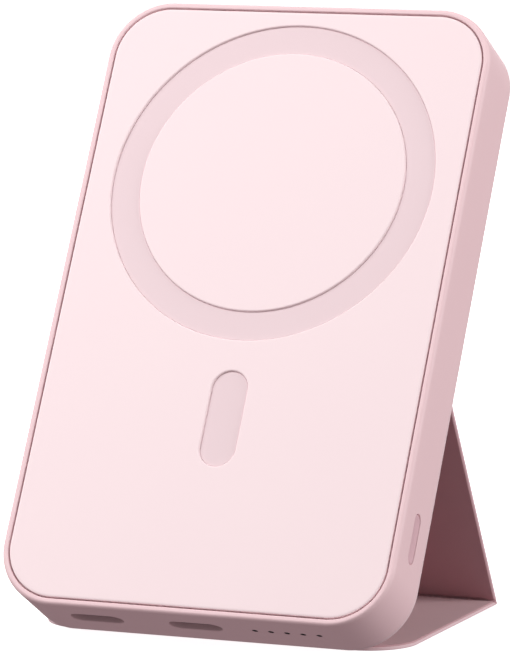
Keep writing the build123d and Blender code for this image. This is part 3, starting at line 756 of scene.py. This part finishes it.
@dataclass
class BackSkin:
    """Soft skin over the back, and the strip bonded into it that carries the stand."""

    sizes: BodySizes
    device: Place
    edge_radius: float = 0.35
    joint_break: float = 0.06
    strip_width: float = 42.0
    strip_length: float = 6.0
    strip_start: float = 0.4
    strip_depth: float = 0.35
    strip_gap: float = 0.05
    strip_thickness: float = 0.3
    strip_corner: float = 0.3
    strip_edge: float = 0.1

    def strip_outline(self, gap: float) -> Outline:
        """Outline of the strip, or of its pocket, smaller by a gap all round."""
        middle = (0.0, self.strip_start + self.strip_length / 2)
        return outline_rectangle(self.strip_width - 2 * gap, self.strip_length - 2 * gap,
                                 self.strip_corner, middle, 4)

    def dress(self, leather: bpy.types.Material) -> None:
        """Makes the skin, rounded at its back edge, and the leather strip in its pocket."""
        sizes = self.sizes
        outline = sizes.outline()
        skin = Surface("back_skin_sheet")
        top = sizes.skin
        skin.loft(self.device, outline, profile(
            arc((self.joint_break, top - self.joint_break), self.joint_break, 90, 180, 3),
            arc((self.edge_radius, self.edge_radius), self.edge_radius, 180, 270, 8)))
        skin.sheet(self.device, top, outline.at(self.joint_break))
        pocket = self.strip_outline(0.0)
        skin.sheet(self.device, 0.0, outline.at(self.edge_radius), [pocket.at(0)])
        skin.loft(self.device, pocket, profile((0, 0), (0, self.strip_depth)))
        skin.sheet(self.device, self.strip_depth, pocket.at(0))
        finish_piece(skin.make(SKIN.make()), "body", "soft_skin", "back_skin")

        strip = Surface("hinge_strip_leather")
        ribbon = self.strip_outline(self.strip_gap)
        low = self.strip_gap
        high = low + self.strip_thickness
        strip.loft(self.device, ribbon, profile(
            (self.strip_edge / 2, high), (0, high - self.strip_edge / 2),
            arc((self.strip_edge, low + self.strip_edge), self.strip_edge, 180, 270, 4)))
        strip.sheet(self.device, high, ribbon.at(self.strip_edge / 2))
        strip.sheet(self.device, low, ribbon.at(self.strip_edge))
        finish_piece(strip.make(leather), "body", "stand_leather", "hinge_strip")


@dataclass
class FrontPanel:
    """Flat panel inside the lip, with a ring recess and a bar recess and their soft inlays."""

    sizes: BodySizes
    device: Place
    thickness: float = 1.2
    gap: float = 0.25
    edge_width: float = 0.45
    edge_drop: float = 0.15
    ring_outer: float = 55.15
    ring_inner: float = 45.4
    bar_length: float = 16.1
    bar_width: float = 6.0
    bar_below_ring: float = 41.0
    recess_depth: float = 0.5
    recess_edge: float = 0.3
    recess_draft: float = 0.03
    inlay_thickness: float = 0.2
    inlay_gap: float = 0.01
    inlay_edge: float = 0.08
    ring_steps: int = 192

    def recess_line(self) -> np.ndarray:
        """Profile of a recess's wall: rounded edge, then a slope that eases down to the floor."""
        face = self.sizes.thickness
        edge = self.recess_edge
        turn = arc((0, 0), 1.0, 90, 0, 8) * (edge - self.recess_draft, edge)
        return profile(turn + (-edge, face - edge), (0, face - self.recess_depth))

    def build(self) -> Surface:
        """Builds the panel: side profile, pierced face, two recesses and a plain back."""
        sizes = self.sizes
        face = sizes.thickness
        back = face - self.thickness
        inset = sizes.lip + self.gap
        edge = self.edge_width
        fall = arc((0, 0), 1.0, 180, 90, 10) * (edge, self.edge_drop)
        outline = sizes.outline()
        ring = self.ring()
        bar = self.bar()
        floor = face - self.recess_depth
        wall = self.recess_line()
        ring_width = (self.ring_outer - self.ring_inner) / 2
        inner_wall = wall[::-1] * (-1, 1) + (ring_width, 0)

        panel = Surface("front_panel_plate")
        panel.loft(self.device, outline, profile(
            (inset, back), fall + (inset + edge, face - self.edge_drop)))
        panel.sheet(self.device, back, outline.at(inset))
        panel.sheet(self.device, face, outline.at(inset + edge),
                    [ring.at(-self.recess_edge), bar.at(-self.recess_edge)])
        panel.loft(self.device, ring, profile(wall, inner_wall))
        panel.sheet(self.device, face, ring.at(ring_width + self.recess_edge))
        panel.loft(self.device, bar, wall)
        panel.sheet(self.device, floor, bar.at(0))
        return panel

    def ring(self) -> Outline:
        """Outer circle of the ring recess."""
        return outline_circle(self.ring_outer / 2, (0.0, self.sizes.ring_place), self.ring_steps)

    def bar(self) -> Outline:
        """Outline of the bar recess below the ring."""
        middle = (0.0, self.sizes.ring_place - self.bar_below_ring)
        return outline_capsule(self.bar_length, self.bar_width, middle, True, 32)

    def dress(self) -> None:
        """Makes the panel and lays an inlay on the floor of each recess."""
        finish_piece(self.build().make(PANEL.make()), "body", "panel_plastic", "front_panel")
        inlay = INLAY.make()
        low = self.sizes.thickness - self.recess_depth
        high = low + self.inlay_thickness
        edge = self.inlay_edge
        outer_edge = arc((self.inlay_gap + edge, high - edge), edge, 180, 90, 4)
        ring_width = (self.ring_outer - self.ring_inner) / 2
        inner_edge = outer_edge[::-1] * (-1, 1) + (ring_width, 0)

        ring = Surface("ring_inlay")
        ring.loft(self.device, self.ring(), profile(
            (self.inlay_gap, low), outer_edge, inner_edge,
            (ring_width - self.inlay_gap, low), (self.inlay_gap, low)))
        finish_piece(ring.make(inlay), "body", "recess_pad", "ring_pad")

        bar = Surface("bar_inlay")
        bar.loft(self.device, self.bar(), profile((self.inlay_gap, low), outer_edge))
        bar.sheet(self.device, low, self.bar().at(self.inlay_gap))
        bar.sheet(self.device, high, self.bar().at(self.inlay_gap + edge))
        finish_piece(bar.make(inlay), "body", "recess_pad", "bar_pad")


@dataclass
class PowerButton:
    """Capsule button with a dished face, the flange that keeps it in, and its pusher."""

    sizes: BodySizes
    right: Place
    place: tuple[float, float]
    length: float = 8.0
    width: float = 2.6
    recess: float = 0.08
    edge: float = 0.12
    dish: float = 0.16
    flange: float = 0.6
    flange_gap: float = 0.05
    pusher_radius: float = 0.8
    pusher_length: float = 0.5
    dish_steps: int = 10

    def dress(self) -> None:
        """Makes the button; its face sinks by a cosine of the way from the edge to the spine."""
        cap = outline_capsule(self.length, self.width, self.place)
        top = -self.recess
        way = np.linspace(1.0, 0.0, self.dish_steps + 1)
        inset = self.edge + way * (self.width / 2 - self.edge)
        sunk = top - self.dish * (1 - np.cos(pi * way)) / 2
        back = -self.sizes.wall - self.flange_gap
        flange_back = back - self.flange
        button = Surface("power_button_cap")
        button.loft(self.right, cap, profile(
            np.stack([inset, sunk], axis=-1),
            arc((self.edge, top - self.edge), self.edge, 90, 180, 4),
            (0, back), (-self.flange, back), (-self.flange, flange_back)))
        pusher = outline_circle(self.pusher_radius, self.place, 24)
        end = flange_back - self.pusher_length
        button.sheet(self.right, flange_back, cap.at(-self.flange), [pusher.at(0)])
        button.loft(self.right, pusher, profile((0, flange_back), (0, end)))
        button.sheet(self.right, end, pusher.at(0))
        finish_piece(button.make(BUTTON.make()), "power_button", "button_plastic",
                     "power_button")


@dataclass
class Sockets:
    """The two reversible charging sockets: steel shells, polymer tongues and gold contacts."""

    bottom: Place
    places: dict[str, float]
    axis: float
    length: float = 8.94
    height: float = 3.26
    wall: float = 0.3
    recess: float = 1.0
    depth: float = 7.3
    block_depth: float = 2.0
    tongue_width: float = 6.7
    tongue_thickness: float = 0.7
    tongue_setback: float = 0.7
    tongue_corner: float = 0.2
    tongue_edge: float = 0.15
    clearance: float = 0.02
    contacts: int = 12
    contact_pitch: float = 0.5
    contact_width: float = 0.26
    contact_length: float = 3.4
    contact_height: float = 0.03
    contact_bed: float = 0.01
    contact_edge: float = 0.02
    contact_corner: float = 0.06
    contact_setback: float = 0.5

    def shell(self, side: str, spot: float) -> Surface:
        """Tube of the shell: a capsule ring with a rolled front edge."""
        tube = Surface(f"socket_shell_{side}_drawn")
        outline = outline_capsule(self.length, self.height, (spot, self.axis))
        half = self.wall / 2
        end = -self.recess - self.depth
        rim = arc((half, -self.recess - half), half, 180, 0, 8)
        tube.loft(self.bottom, outline, profile(rim, (self.wall, end), (0, end), rim[:1]))
        return tube

    def tongue(self, side: str, spot: float) -> Surface:
        """Block at the back of the shell and the flat tongue that stands on it."""
        piece = Surface(f"socket_tongue_{side}_moulded")
        middle = (spot, self.axis)
        outline = outline_capsule(self.length, self.height, middle)
        inset = self.wall + self.clearance
        back = -self.recess - self.depth
        face = back + self.block_depth
        front = -self.recess - self.tongue_setback
        edge = self.tongue_edge
        blade = outline_rectangle(self.tongue_width, self.tongue_thickness, self.tongue_corner,
                                  middle, 4)
        piece.sheet(self.bottom, back, outline.at(inset))
        piece.loft(self.bottom, outline, profile((inset, back), (inset, face)))
        piece.sheet(self.bottom, face, outline.at(inset), [blade.at(0)])
        piece.loft(self.bottom, blade, profile(
            (0, face), arc((edge, front - edge), edge, 180, 90, 4)))
        piece.sheet(self.bottom, front, blade.at(edge))
        return piece

    def pads(self, side: str, spot: float) -> Surface:
        """Rows of contact pads on both faces of the tongue."""
        piece = Surface(f"socket_contacts_{side}")
        first = spot - (self.contacts - 1) * self.contact_pitch / 2
        front = -self.recess - self.tongue_setback - self.contact_setback
        bed = self.contact_bed
        edge = self.contact_edge
        for face in (-1, 1):
            height = self.tongue_thickness / 2
            deck = Place(self.bottom.origin + (self.axis + face * height) * self.bottom.along,
                         self.bottom.across, self.bottom.out, face * self.bottom.along)
            for number in range(self.contacts):
                middle = (first + number * self.contact_pitch, front - self.contact_length / 2)
                pad = outline_rectangle(self.contact_width, self.contact_length,
                                        self.contact_corner, middle, 2)
                piece.loft(deck, pad, profile((0, -bed), (0, self.contact_height - bed),
                                              (edge, self.contact_height)))
                piece.sheet(deck, -bed, pad.at(0))
                piece.sheet(deck, self.contact_height, pad.at(edge))
        return piece

    def dress(self) -> None:
        """Makes both sockets."""
        steel = STEEL.make()
        polymer = POLYMER.make()
        gold = GOLD.make()
        for side, spot in self.places.items():
            finish_piece(self.shell(side, spot).make(steel), "body", "socket_metal",
                         f"socket_shell_{side}")
            finish_piece(self.tongue(side, spot).make(polymer), "body", "socket_plastic",
                         f"socket_tongue_{side}")
            finish_piece(self.pads(side, spot).make(gold), "body", "socket_metal")


@dataclass
class LightGuide:
    """Smoked guide: a bar behind the wall with a domed prong in each light hole."""

    bottom: Place
    places: list[tuple[float, float]]
    wall: float = 2.0
    prong_radius: float = 0.45
    recess: float = 0.05
    dome: float = 0.06
    bar_gap: float = 0.2
    bar_depth: float = 1.6
    bar_height: float = 1.5
    bar_corner: float = 0.2
    overhang: float = 1.2

    def dress(self) -> None:
        """Makes the guide; a prong's end rises from rim to middle as a quarter wave of a sine."""
        guide = Surface("light_guide_smoked")
        spots = np.array(self.places)
        middle = tuple(spots.mean(axis=0))
        width = float(np.ptp(spots[:, 0])) + 2 * self.overhang
        bar = outline_rectangle(width, self.bar_height, self.bar_corner, middle, 3)
        front = -self.wall - self.bar_gap
        back = front - self.bar_depth
        prongs = [outline_circle(self.prong_radius, spot, 24) for spot in self.places]
        guide.sheet(self.bottom, back, bar.at(0))
        guide.loft(self.bottom, bar, profile((0, back), (0, front)))
        guide.sheet(self.bottom, front, bar.at(0), [prong.at(0) for prong in prongs])
        way = np.linspace(0.0, 1.0, 7)
        height = -self.recess - self.dome * (1 - np.sin(way * pi / 2))
        dome = np.stack([self.prong_radius * (1 - way), height], axis=-1)
        for prong in prongs:
            guide.loft(self.bottom, prong, profile(dome, (0, front)))
        finish_piece(guide.make(SMOKED.make()), "body", "smoked_guide", "light_guide")


# ============================================================ the stand

@dataclass(frozen=True)
class PanelShape:
    """One panel of the stand: its place, length, cut-back ends and rounded ends."""

    name: str
    place: Place
    length: float
    start_fold: bool
    end_fold: bool
    start_corner: float
    end_corner: float


@dataclass
class Stand:
    """Three leather panels and the leather webs that join them."""

    sizes: BodySizes
    device: Place
    margin: float = 1.75
    cover: float = 0.3
    board: float = 0.25
    lining: float = 0.25
    crease_gap: float = 0.15
    relief: float = 1.5
    square_corner: float = 0.5
    edge: float = 0.16
    web_radius: float = 0.32
    lining_inset: float = 0.12
    lining_step: float = 0.06
    hinge_width: float = 41.0
    hinge_foot: tuple[float, float] = (0.45, 0.2)
    hinge_end: tuple[float, float] = (0.1, 0.05)
    hinge_sag: float = 0.12
    hinge_floor: float = 0.02
    corner_steps: int = 20

    @property
    def width(self) -> float:
        """Width of the panels."""
        return self.sizes.width - 2 * self.margin

    @property
    def thickness(self) -> float:
        """Thickness of a panel."""
        return self.cover + self.board + self.lining

    @property
    def fold_slope(self) -> float:
        """How far a folded end is cut back for each mm of height over the outer face."""
        return tan(radians(self.sizes.stand_angle + self.relief))

    @property
    def web_reach(self) -> float:
        """Where the web over the lower crease takes over from a cover, from the pivot."""
        return self.web_radius / tan(radians(90.0 - self.sizes.stand_angle))

    def panels(self) -> list[PanelShape]:
        """The base on the table, the leg behind the body and the tab on its back."""
        side = np.array([1.0, 0.0, 0.0])
        base_spot = joint_spot("base_hinge")
        crease_spot = joint_spot("leg_crease")
        tab_spot = joint_spot("tab_crease")
        span = float(np.linalg.norm(crease_spot - base_spot))
        angle = radians(2 * self.sizes.stand_angle)
        leg_along = np.array([0.0, cos(angle), sin(angle)])
        base = Place(base_spot, side, np.array([0.0, 1.0, 0.0]), np.array([0.0, 0.0, 1.0]))
        leg = Place(crease_spot, side, leg_along, np.cross(side, leg_along))
        tab = Place(tab_spot, side, self.device.along, self.device.out)
        round_corner = self.sizes.corner - self.margin
        square = self.square_corner
        return [PanelShape("base", base, span, False, True, round_corner, square),
                PanelShape("leg", leg, span, True, False, square, square),
                PanelShape("tab", tab, self.sizes.tab_length, False, False, square, round_corner)]

    def layer(self, name: str, shape: PanelShape, line: np.ndarray) -> Surface:
        """One layer of a panel, as a profile carried round the panel's outline.

        The outline's points at a folded end are drawn back by the larger of the web's reach and
        the gap plus the slope times their height.

        Args:
            name: name of the piece.
            shape: the panel.
            line: profile of (inset, height) from the middle of one face to that of the other.

        Returns:
            The layer's surface.
        """
        start_radius, end_radius = shape.start_corner, shape.end_corner
        half = self.width / 2
        corners = [(half - start_radius, start_radius), (half - end_radius,
                                                         shape.length - end_radius),
                   (end_radius - half, shape.length - end_radius),
                   (start_radius - half, start_radius)]
        pieces = outline_round(corners, 1.0, -90.0, self.corner_steps)
        radius = np.repeat([start_radius, end_radius, end_radius, start_radius],
                           pieces.corner_points)
        inset = line[:, 0, None, None]
        reach = radius[None, :, None] - inset
        plan = pieces.centres[None] + reach * pieces.outward[None]
        sharp = np.maximum(inset - radius[None, :, None], 0)
        plan = plan + sharp * (pieces.outward[None] - np.sign(np.round(pieces.outward[None], 6)))
        height = np.broadcast_to(line[:, 1, None], plan.shape[:2])
        cut = np.maximum(self.web_reach, self.crease_gap + self.fold_slope * height)
        late = plan[..., 1] > shape.length / 2
        back = np.where(late, -(cut if shape.end_fold else self.crease_gap),
                        cut if shape.start_fold else self.crease_gap)
        plan[..., 1] += back
        surface = Surface(name)
        surface.grid(shape.place.put(plan, height))
        return surface

    def flat_ends(self, surface: Surface, rings: int) -> None:
        """Closes the first and last ring of a layer, each with one flat face."""
        points = surface.points[0].reshape(rings, -1, 3)
        size = points.shape[1]
        for ring in (0, rings - 1):
            surface.patch(points[ring], [list(range(size))])

    def cover_line(self) -> np.ndarray:
        """Profile of a cover: a small break under the lining, the side and a round outer edge."""
        edge = self.edge
        top = self.cover + self.board
        return profile((edge / 2, top), (0, top - edge / 2),
                       arc((edge, edge), edge, 180, 270, 5))

    def lining_line(self) -> np.ndarray:
        """Profile of a lining: it stands back from the cover's edge and is rounded inwards."""
        edge = self.lining - self.lining_step
        low = self.cover + self.board
        high = low + self.lining
        inset = self.lining_inset
        return profile((inset, low), arc((inset + edge, high - edge), edge, 180, 90, 5))

    def dress(self, leather: bpy.types.Material) -> None:
        """Makes the covers and linings, then the webs."""
        microfibre = MICROFIBRE.make()
        for shape in self.panels():
            body = f"stand_{shape.name}"
            line = self.cover_line()
            cover = self.layer(f"{shape.name}_cover_leather", shape, line)
            self.flat_ends(cover, len(line))
            finish_piece(cover.make(leather), body, "stand_leather", f"{shape.name}_cover")
            line = self.lining_line()
            lining = self.layer(f"{shape.name}_lining_sheet", shape, line)
            self.flat_ends(lining, len(line))
            finish_piece(lining.make(microfibre), body, "stand_lining",
                         f"{shape.name}_lining")
        self.webs(leather)

    def web(self, name: str, path: np.ndarray, inward: np.ndarray, width: float,
            place: Place, leather: bpy.types.Material) -> bpy.types.Object:
        """A strip of leather across a fold.

        Point i of the path, moved inwards by the thickness t, gives the strip's other face:
        path + t * inward.  A rounded edge runs along both sides.

        Args:
            name: name of the piece.
            path: points of the outer face in (along, out) of the place, in mm.
            inward: direction through the leather at each of them, with its thickness.
            width: width of the strip.
            place: place of the panel from which the path is drawn.
            leather: its material.

        Returns:
            The strip.
        """
        way = radians(90) * np.linspace(0, 1, 4)
        edge = self.edge
        depth = np.concatenate([edge * (1 - np.cos(way)), [self.cover]]) / self.cover
        drawn = np.concatenate([edge * (1 - np.sin(way)), [0.0]])
        half = np.concatenate([-(width / 2 - drawn)[::-1], width / 2 - drawn])
        share = np.concatenate([depth[::-1], depth])
        lines = path[:, None, :] + share[None, :, None] * inward[:, None, :]
        across = np.broadcast_to(half[None, :], lines.shape[:2])
        points = (place.origin + across[..., None] * place.across
                  + lines[..., :1] * place.along + lines[..., 1:] * place.out) * MM
        strip = Surface(name)
        strip.grid(points)
        for ring in (0, len(points) - 1):
            strip.patch(points[ring], [list(range(points.shape[1]))])
        return strip.make(leather)

    def webs(self, leather: bpy.types.Material) -> None:
        """Makes the web of each fold, fixed in the model's frame."""
        base, leg, tab = self.panels()
        angle = radians(2 * self.sizes.stand_angle)
        radius = self.web_radius
        reach = self.web_reach

        # lower crease: an arc of leather from the base's underside to the leg's outer face
        turn = np.linspace(0.0, angle, 17)
        ray = np.stack([np.sin(turn), -np.cos(turn)], axis=-1)
        centre = np.array([base.length - reach, radius])
        lower = self.web("lower_crease_web", centre + radius * ray, -self.cover * ray,
                         self.width, base.place, leather)
        self.spot(base, -reach, end=True)
        self.spot(leg, reach)
        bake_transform(lower)

        # upper crease: a wedge of leather round the tab's pivot
        swing = radians(self.sizes.stand_angle)
        share = np.linspace(0.0, 1.0, 9)
        angle_out = pi / 2 - share * swing
        normal = np.stack([np.cos(angle_out), np.sin(angle_out)], axis=-1)
        along = np.stack([np.sin(angle_out), -np.cos(angle_out)], axis=-1)
        slide = (2 * share - 1)[:, None] * self.crease_gap
        origin = np.array([leg.length, 0.0])
        upper = self.web("upper_crease_web", origin + slide * along, self.cover * normal,
                         self.width, leg.place, leather)
        self.spot(leg, -self.crease_gap, end=True)
        self.spot(tab, self.crease_gap)
        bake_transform(upper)

        # hinge: from the lower edge of the strip in the skin to the end of the base
        foot_along, foot_height = self.hinge_foot
        foot = self.device.put(np.array([0.0, foot_along]), foot_height)
        start = foot / MM - base.place.origin
        first = np.array([start @ base.place.along, start @ base.place.out])
        last = np.array(self.hinge_end) + (self.crease_gap, 0.0)
        share = np.linspace(0.0, 1.0, 9)[:, None]
        sag = np.array([0.0, -self.hinge_sag]) * np.sin(pi * share)
        path = first * (1 - share) + last * share + sag
        heading = np.gradient(path, axis=0)
        heading /= np.linalg.norm(heading, axis=1, keepdims=True)
        inward = np.stack([-heading[:, 1], heading[:, 0]], axis=-1) * self.cover
        path[:, 1] = np.maximum(path[:, 1], self.hinge_floor)
        hinge = self.web("hinge_web", path, inward, self.hinge_width, base.place, leather)
        self.spot(base, self.crease_gap)
        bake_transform(hinge)

    def spot(self, shape: PanelShape, along: float, end: bool = False) -> tuple:
        """A point on a panel's outer face, from its start or its end, in metres."""
        place = shape.length + along if end else along
        return tuple(shape.place.put(np.array([0.0, place]), 0.0).tolist())


# ============================================================ inside the body

@dataclass
class Insides:
    """Finishes of the pieces inside the body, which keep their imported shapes."""

    sizes: BodySizes
    device: Place
    wire: float = 0.45
    track: float = 0.2
    coil_height: float = 9.0

    def finishes(self) -> dict[str, tuple[str, ...]]:
        """Nodes by the name of their finish."""
        return {
            "foam": ("panel_gasket", "end_foam"),
            "nylon": ("coil_carrier", "button_switch", "switch_plunger"),
            "ferrite": ("ferrite_disc",),
            "nickel": ("ring_magnets", "bar_magnet", "latch_magnets_open",
                       "latch_magnets_closed", "tab_magnets", "battery_tabs"),
            "graphite": ("heat_spreader",),
            "laminate": ("battery_cell",),
            "tape": ("cell_tape",),
            "zinc": ("board_screws",),
            "mould": ("controller_chip", "power_inductor"),
            "ceramic": ("capacitors",),
            "resin": ("light_emitters",),
            "greyboard": ("base_stiffener", "leg_stiffener"),
            "copper": ("charging_coil", "coil_leads"),
            "mask": ("main_board",),
        }

    def dress(self) -> None:
        """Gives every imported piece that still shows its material."""
        middle = self.device.moved(0.0, self.sizes.ring_place, self.coil_height).origin
        makers = {
            "foam": FOAM, "nylon": NYLON, "ferrite": FERRITE, "nickel": NICKEL,
            "graphite": GRAPHITE, "laminate": LAMINATE, "tape": TAPE, "zinc": ZINC,
            "mould": MOULD, "ceramic": CERAMIC, "resin": RESIN, "greyboard": GREYBOARD,
            "copper": WoundCopper("enamelled_copper_wire", self.wire, middle,
                                  self.device.out),
            "mask": SolderMask("green_solder_mask", self.track),
        }
        for finish, nodes in self.finishes().items():
            material = makers[finish].make()
            for node in nodes:
                piece = frame["nodes"][node]
                piece.data.materials.clear()
                piece.data.materials.append(material)
                LOG.info("%s dressed in %s", node, material.name)


# ============================================================ studio

@dataclass(frozen=True)
class Softbox:
    """A round softbox aimed at the object: its place and width in metres, its power in watts."""

    name: str
    spot: tuple[float, float, float]
    width: float
    power: float

    def hang(self) -> None:
        """Adds the lamp, turned towards the object's foot."""
        lamp = bpy.data.lights.new(self.name, "AREA")
        lamp.shape = "DISK"
        lamp.size = self.width
        lamp.energy = self.power
        box = bpy.data.objects.new(self.name, lamp)
        box.location = self.spot
        box.rotation_euler = (-Vector(self.spot)).to_track_quat("-Z", "Y").to_euler()
        bpy.context.scene.collection.objects.link(box)


SOFTBOXES = (
    Softbox("key_light", (-0.3, -0.5, 0.8), 0.9, 5.2),
    Softbox("left_fill", (-0.75, -0.3, 0.6), 0.6, 5.0),
    Softbox("back_fill", (-0.2, 1.0, 0.4), 0.6, 3.0),
    Softbox("right_fill", (0.88, 0.05, 0.42), 0.6, 6.0),
)


@dataclass
class Studio:
    """Floor, light and camera.  The camera's lengths are in mm, the floor's reach in metres."""

    floor_reach: float = 9.0
    floor_drop: float = 0.05
    floor_glow: float = 0.85
    bounce_colour: str = "978C8F"
    sky: float = 0.24
    sky_colour: str = "FFFDFD"
    azimuth: float = 22.211
    elevation: float = 7.245
    roll: float = 0.125
    distance: float = 771.29
    target: tuple[float, float, float] = (1.965, -8.793, 47.927)
    lens: float = 265.27

    def floor(self) -> None:
        """A wide pale floor that shows nearly white and throws little light back up."""
        reach = self.floor_reach
        corners = np.array([(-1, -1), (1, -1), (1, 1), (-1, 1)]) * reach
        mesh = bpy.data.meshes.new("studio_floor")
        mesh.from_pydata([(x, y, -self.floor_drop * MM) for x, y in corners], [],
                         [(0, 1, 2, 3)])
        material, tree = blank_material("matte_studio_paper")
        path = add(tree, "ShaderNodeLightPath")
        paper = add(tree, "ShaderNodeBsdfDiffuse", {"Color": linear("EDEBEB")})
        glow = add(tree, "ShaderNodeEmission", {"Strength": self.floor_glow})
        seen = add(tree, "ShaderNodeAddShader", None,
                   {0: paper.outputs["BSDF"], 1: glow.outputs["Emission"]})
        thrown = add(tree, "ShaderNodeEmission", {"Color": linear(self.bounce_colour)})
        mixed = add(tree, "ShaderNodeMixShader", None,
                    {0: path.outputs["Is Camera Ray"], 1: thrown.outputs["Emission"],
                     2: seen.outputs["Shader"]})
        add(tree, "ShaderNodeOutputMaterial", None, {"Surface": mixed.outputs["Shader"]})
        mesh.materials.append(material)
        floor = bpy.data.objects.new("studio_floor", mesh)
        bpy.context.scene.collection.objects.link(floor)

    def light(self) -> None:
        """A dim even room, which looks white, and the softboxes."""
        world = bpy.data.worlds.new("white_room")
        world.use_nodes = True
        tree = world.node_tree
        tree.nodes.clear()
        path = add(tree, "ShaderNodeLightPath")
        glow = add(tree, "ShaderNodeBackground", {"Color": linear(self.sky_colour),
                                                  "Strength": self.sky})
        wall = add(tree, "ShaderNodeBackground", {"Color": linear("FFFFFF")})
        mixed = add(tree, "ShaderNodeMixShader", None,
                    {0: path.outputs["Is Camera Ray"], 1: glow.outputs["Background"],
                     2: wall.outputs["Background"]})
        add(tree, "ShaderNodeOutputWorld", None, {"Surface": mixed.outputs["Shader"]})
        bpy.context.scene.world = world
        for softbox in SOFTBOXES:
            softbox.hang()

    def camera(self) -> None:
        """A long lens in front of the object, towards its button side and a little above it."""
        turn = Euler((radians(90 - self.elevation), 0.0, radians(self.azimuth)))
        rotation = turn.to_matrix() @ Euler((0.0, 0.0, radians(self.roll))).to_matrix()
        optics = bpy.data.cameras.new("camera")
        optics.lens = self.lens
        optics.sensor_width = 36.0
        optics.sensor_fit = "AUTO"
        optics.clip_start = 0.01
        optics.clip_end = 50.0
        eye = bpy.data.objects.new("camera", optics)
        target = Vector(self.target) * MM
        eye.location = target + rotation @ Vector((0.0, 0.0, self.distance * MM))
        eye.rotation_euler = rotation.to_euler()
        bpy.context.scene.collection.objects.link(eye)
        bpy.context.scene.camera = eye

    def build(self) -> None:
        """Sets up the camera, the floor and the light."""
        self.camera()
        self.floor()
        self.light()
        bpy.context.scene.view_settings.view_transform = "Standard"


def main() -> None:
    """Builds the studio, the body, the stand and the insides."""
    logging.basicConfig(level=logging.INFO, format="%(message)s")
    Studio().build()
    sizes = BodySizes()
    places = sizes.places()
    leather = LEATHER.make()
    housing = Housing(sizes, places)
    housing.dress()
    BackSkin(sizes, places["device"]).dress(leather)
    FrontPanel(sizes, places["device"]).dress()
    PowerButton(sizes, places["right"], housing.button_place).dress()
    Sockets(places["bottom"], housing.port_places, housing.port_axis).dress()
    LightGuide(places["bottom"], housing.light_places()).dress()
    Stand(sizes, places["device"]).dress(leather)
    Insides(sizes, places["device"]).dress()


if __name__ == "__main__":
    main()
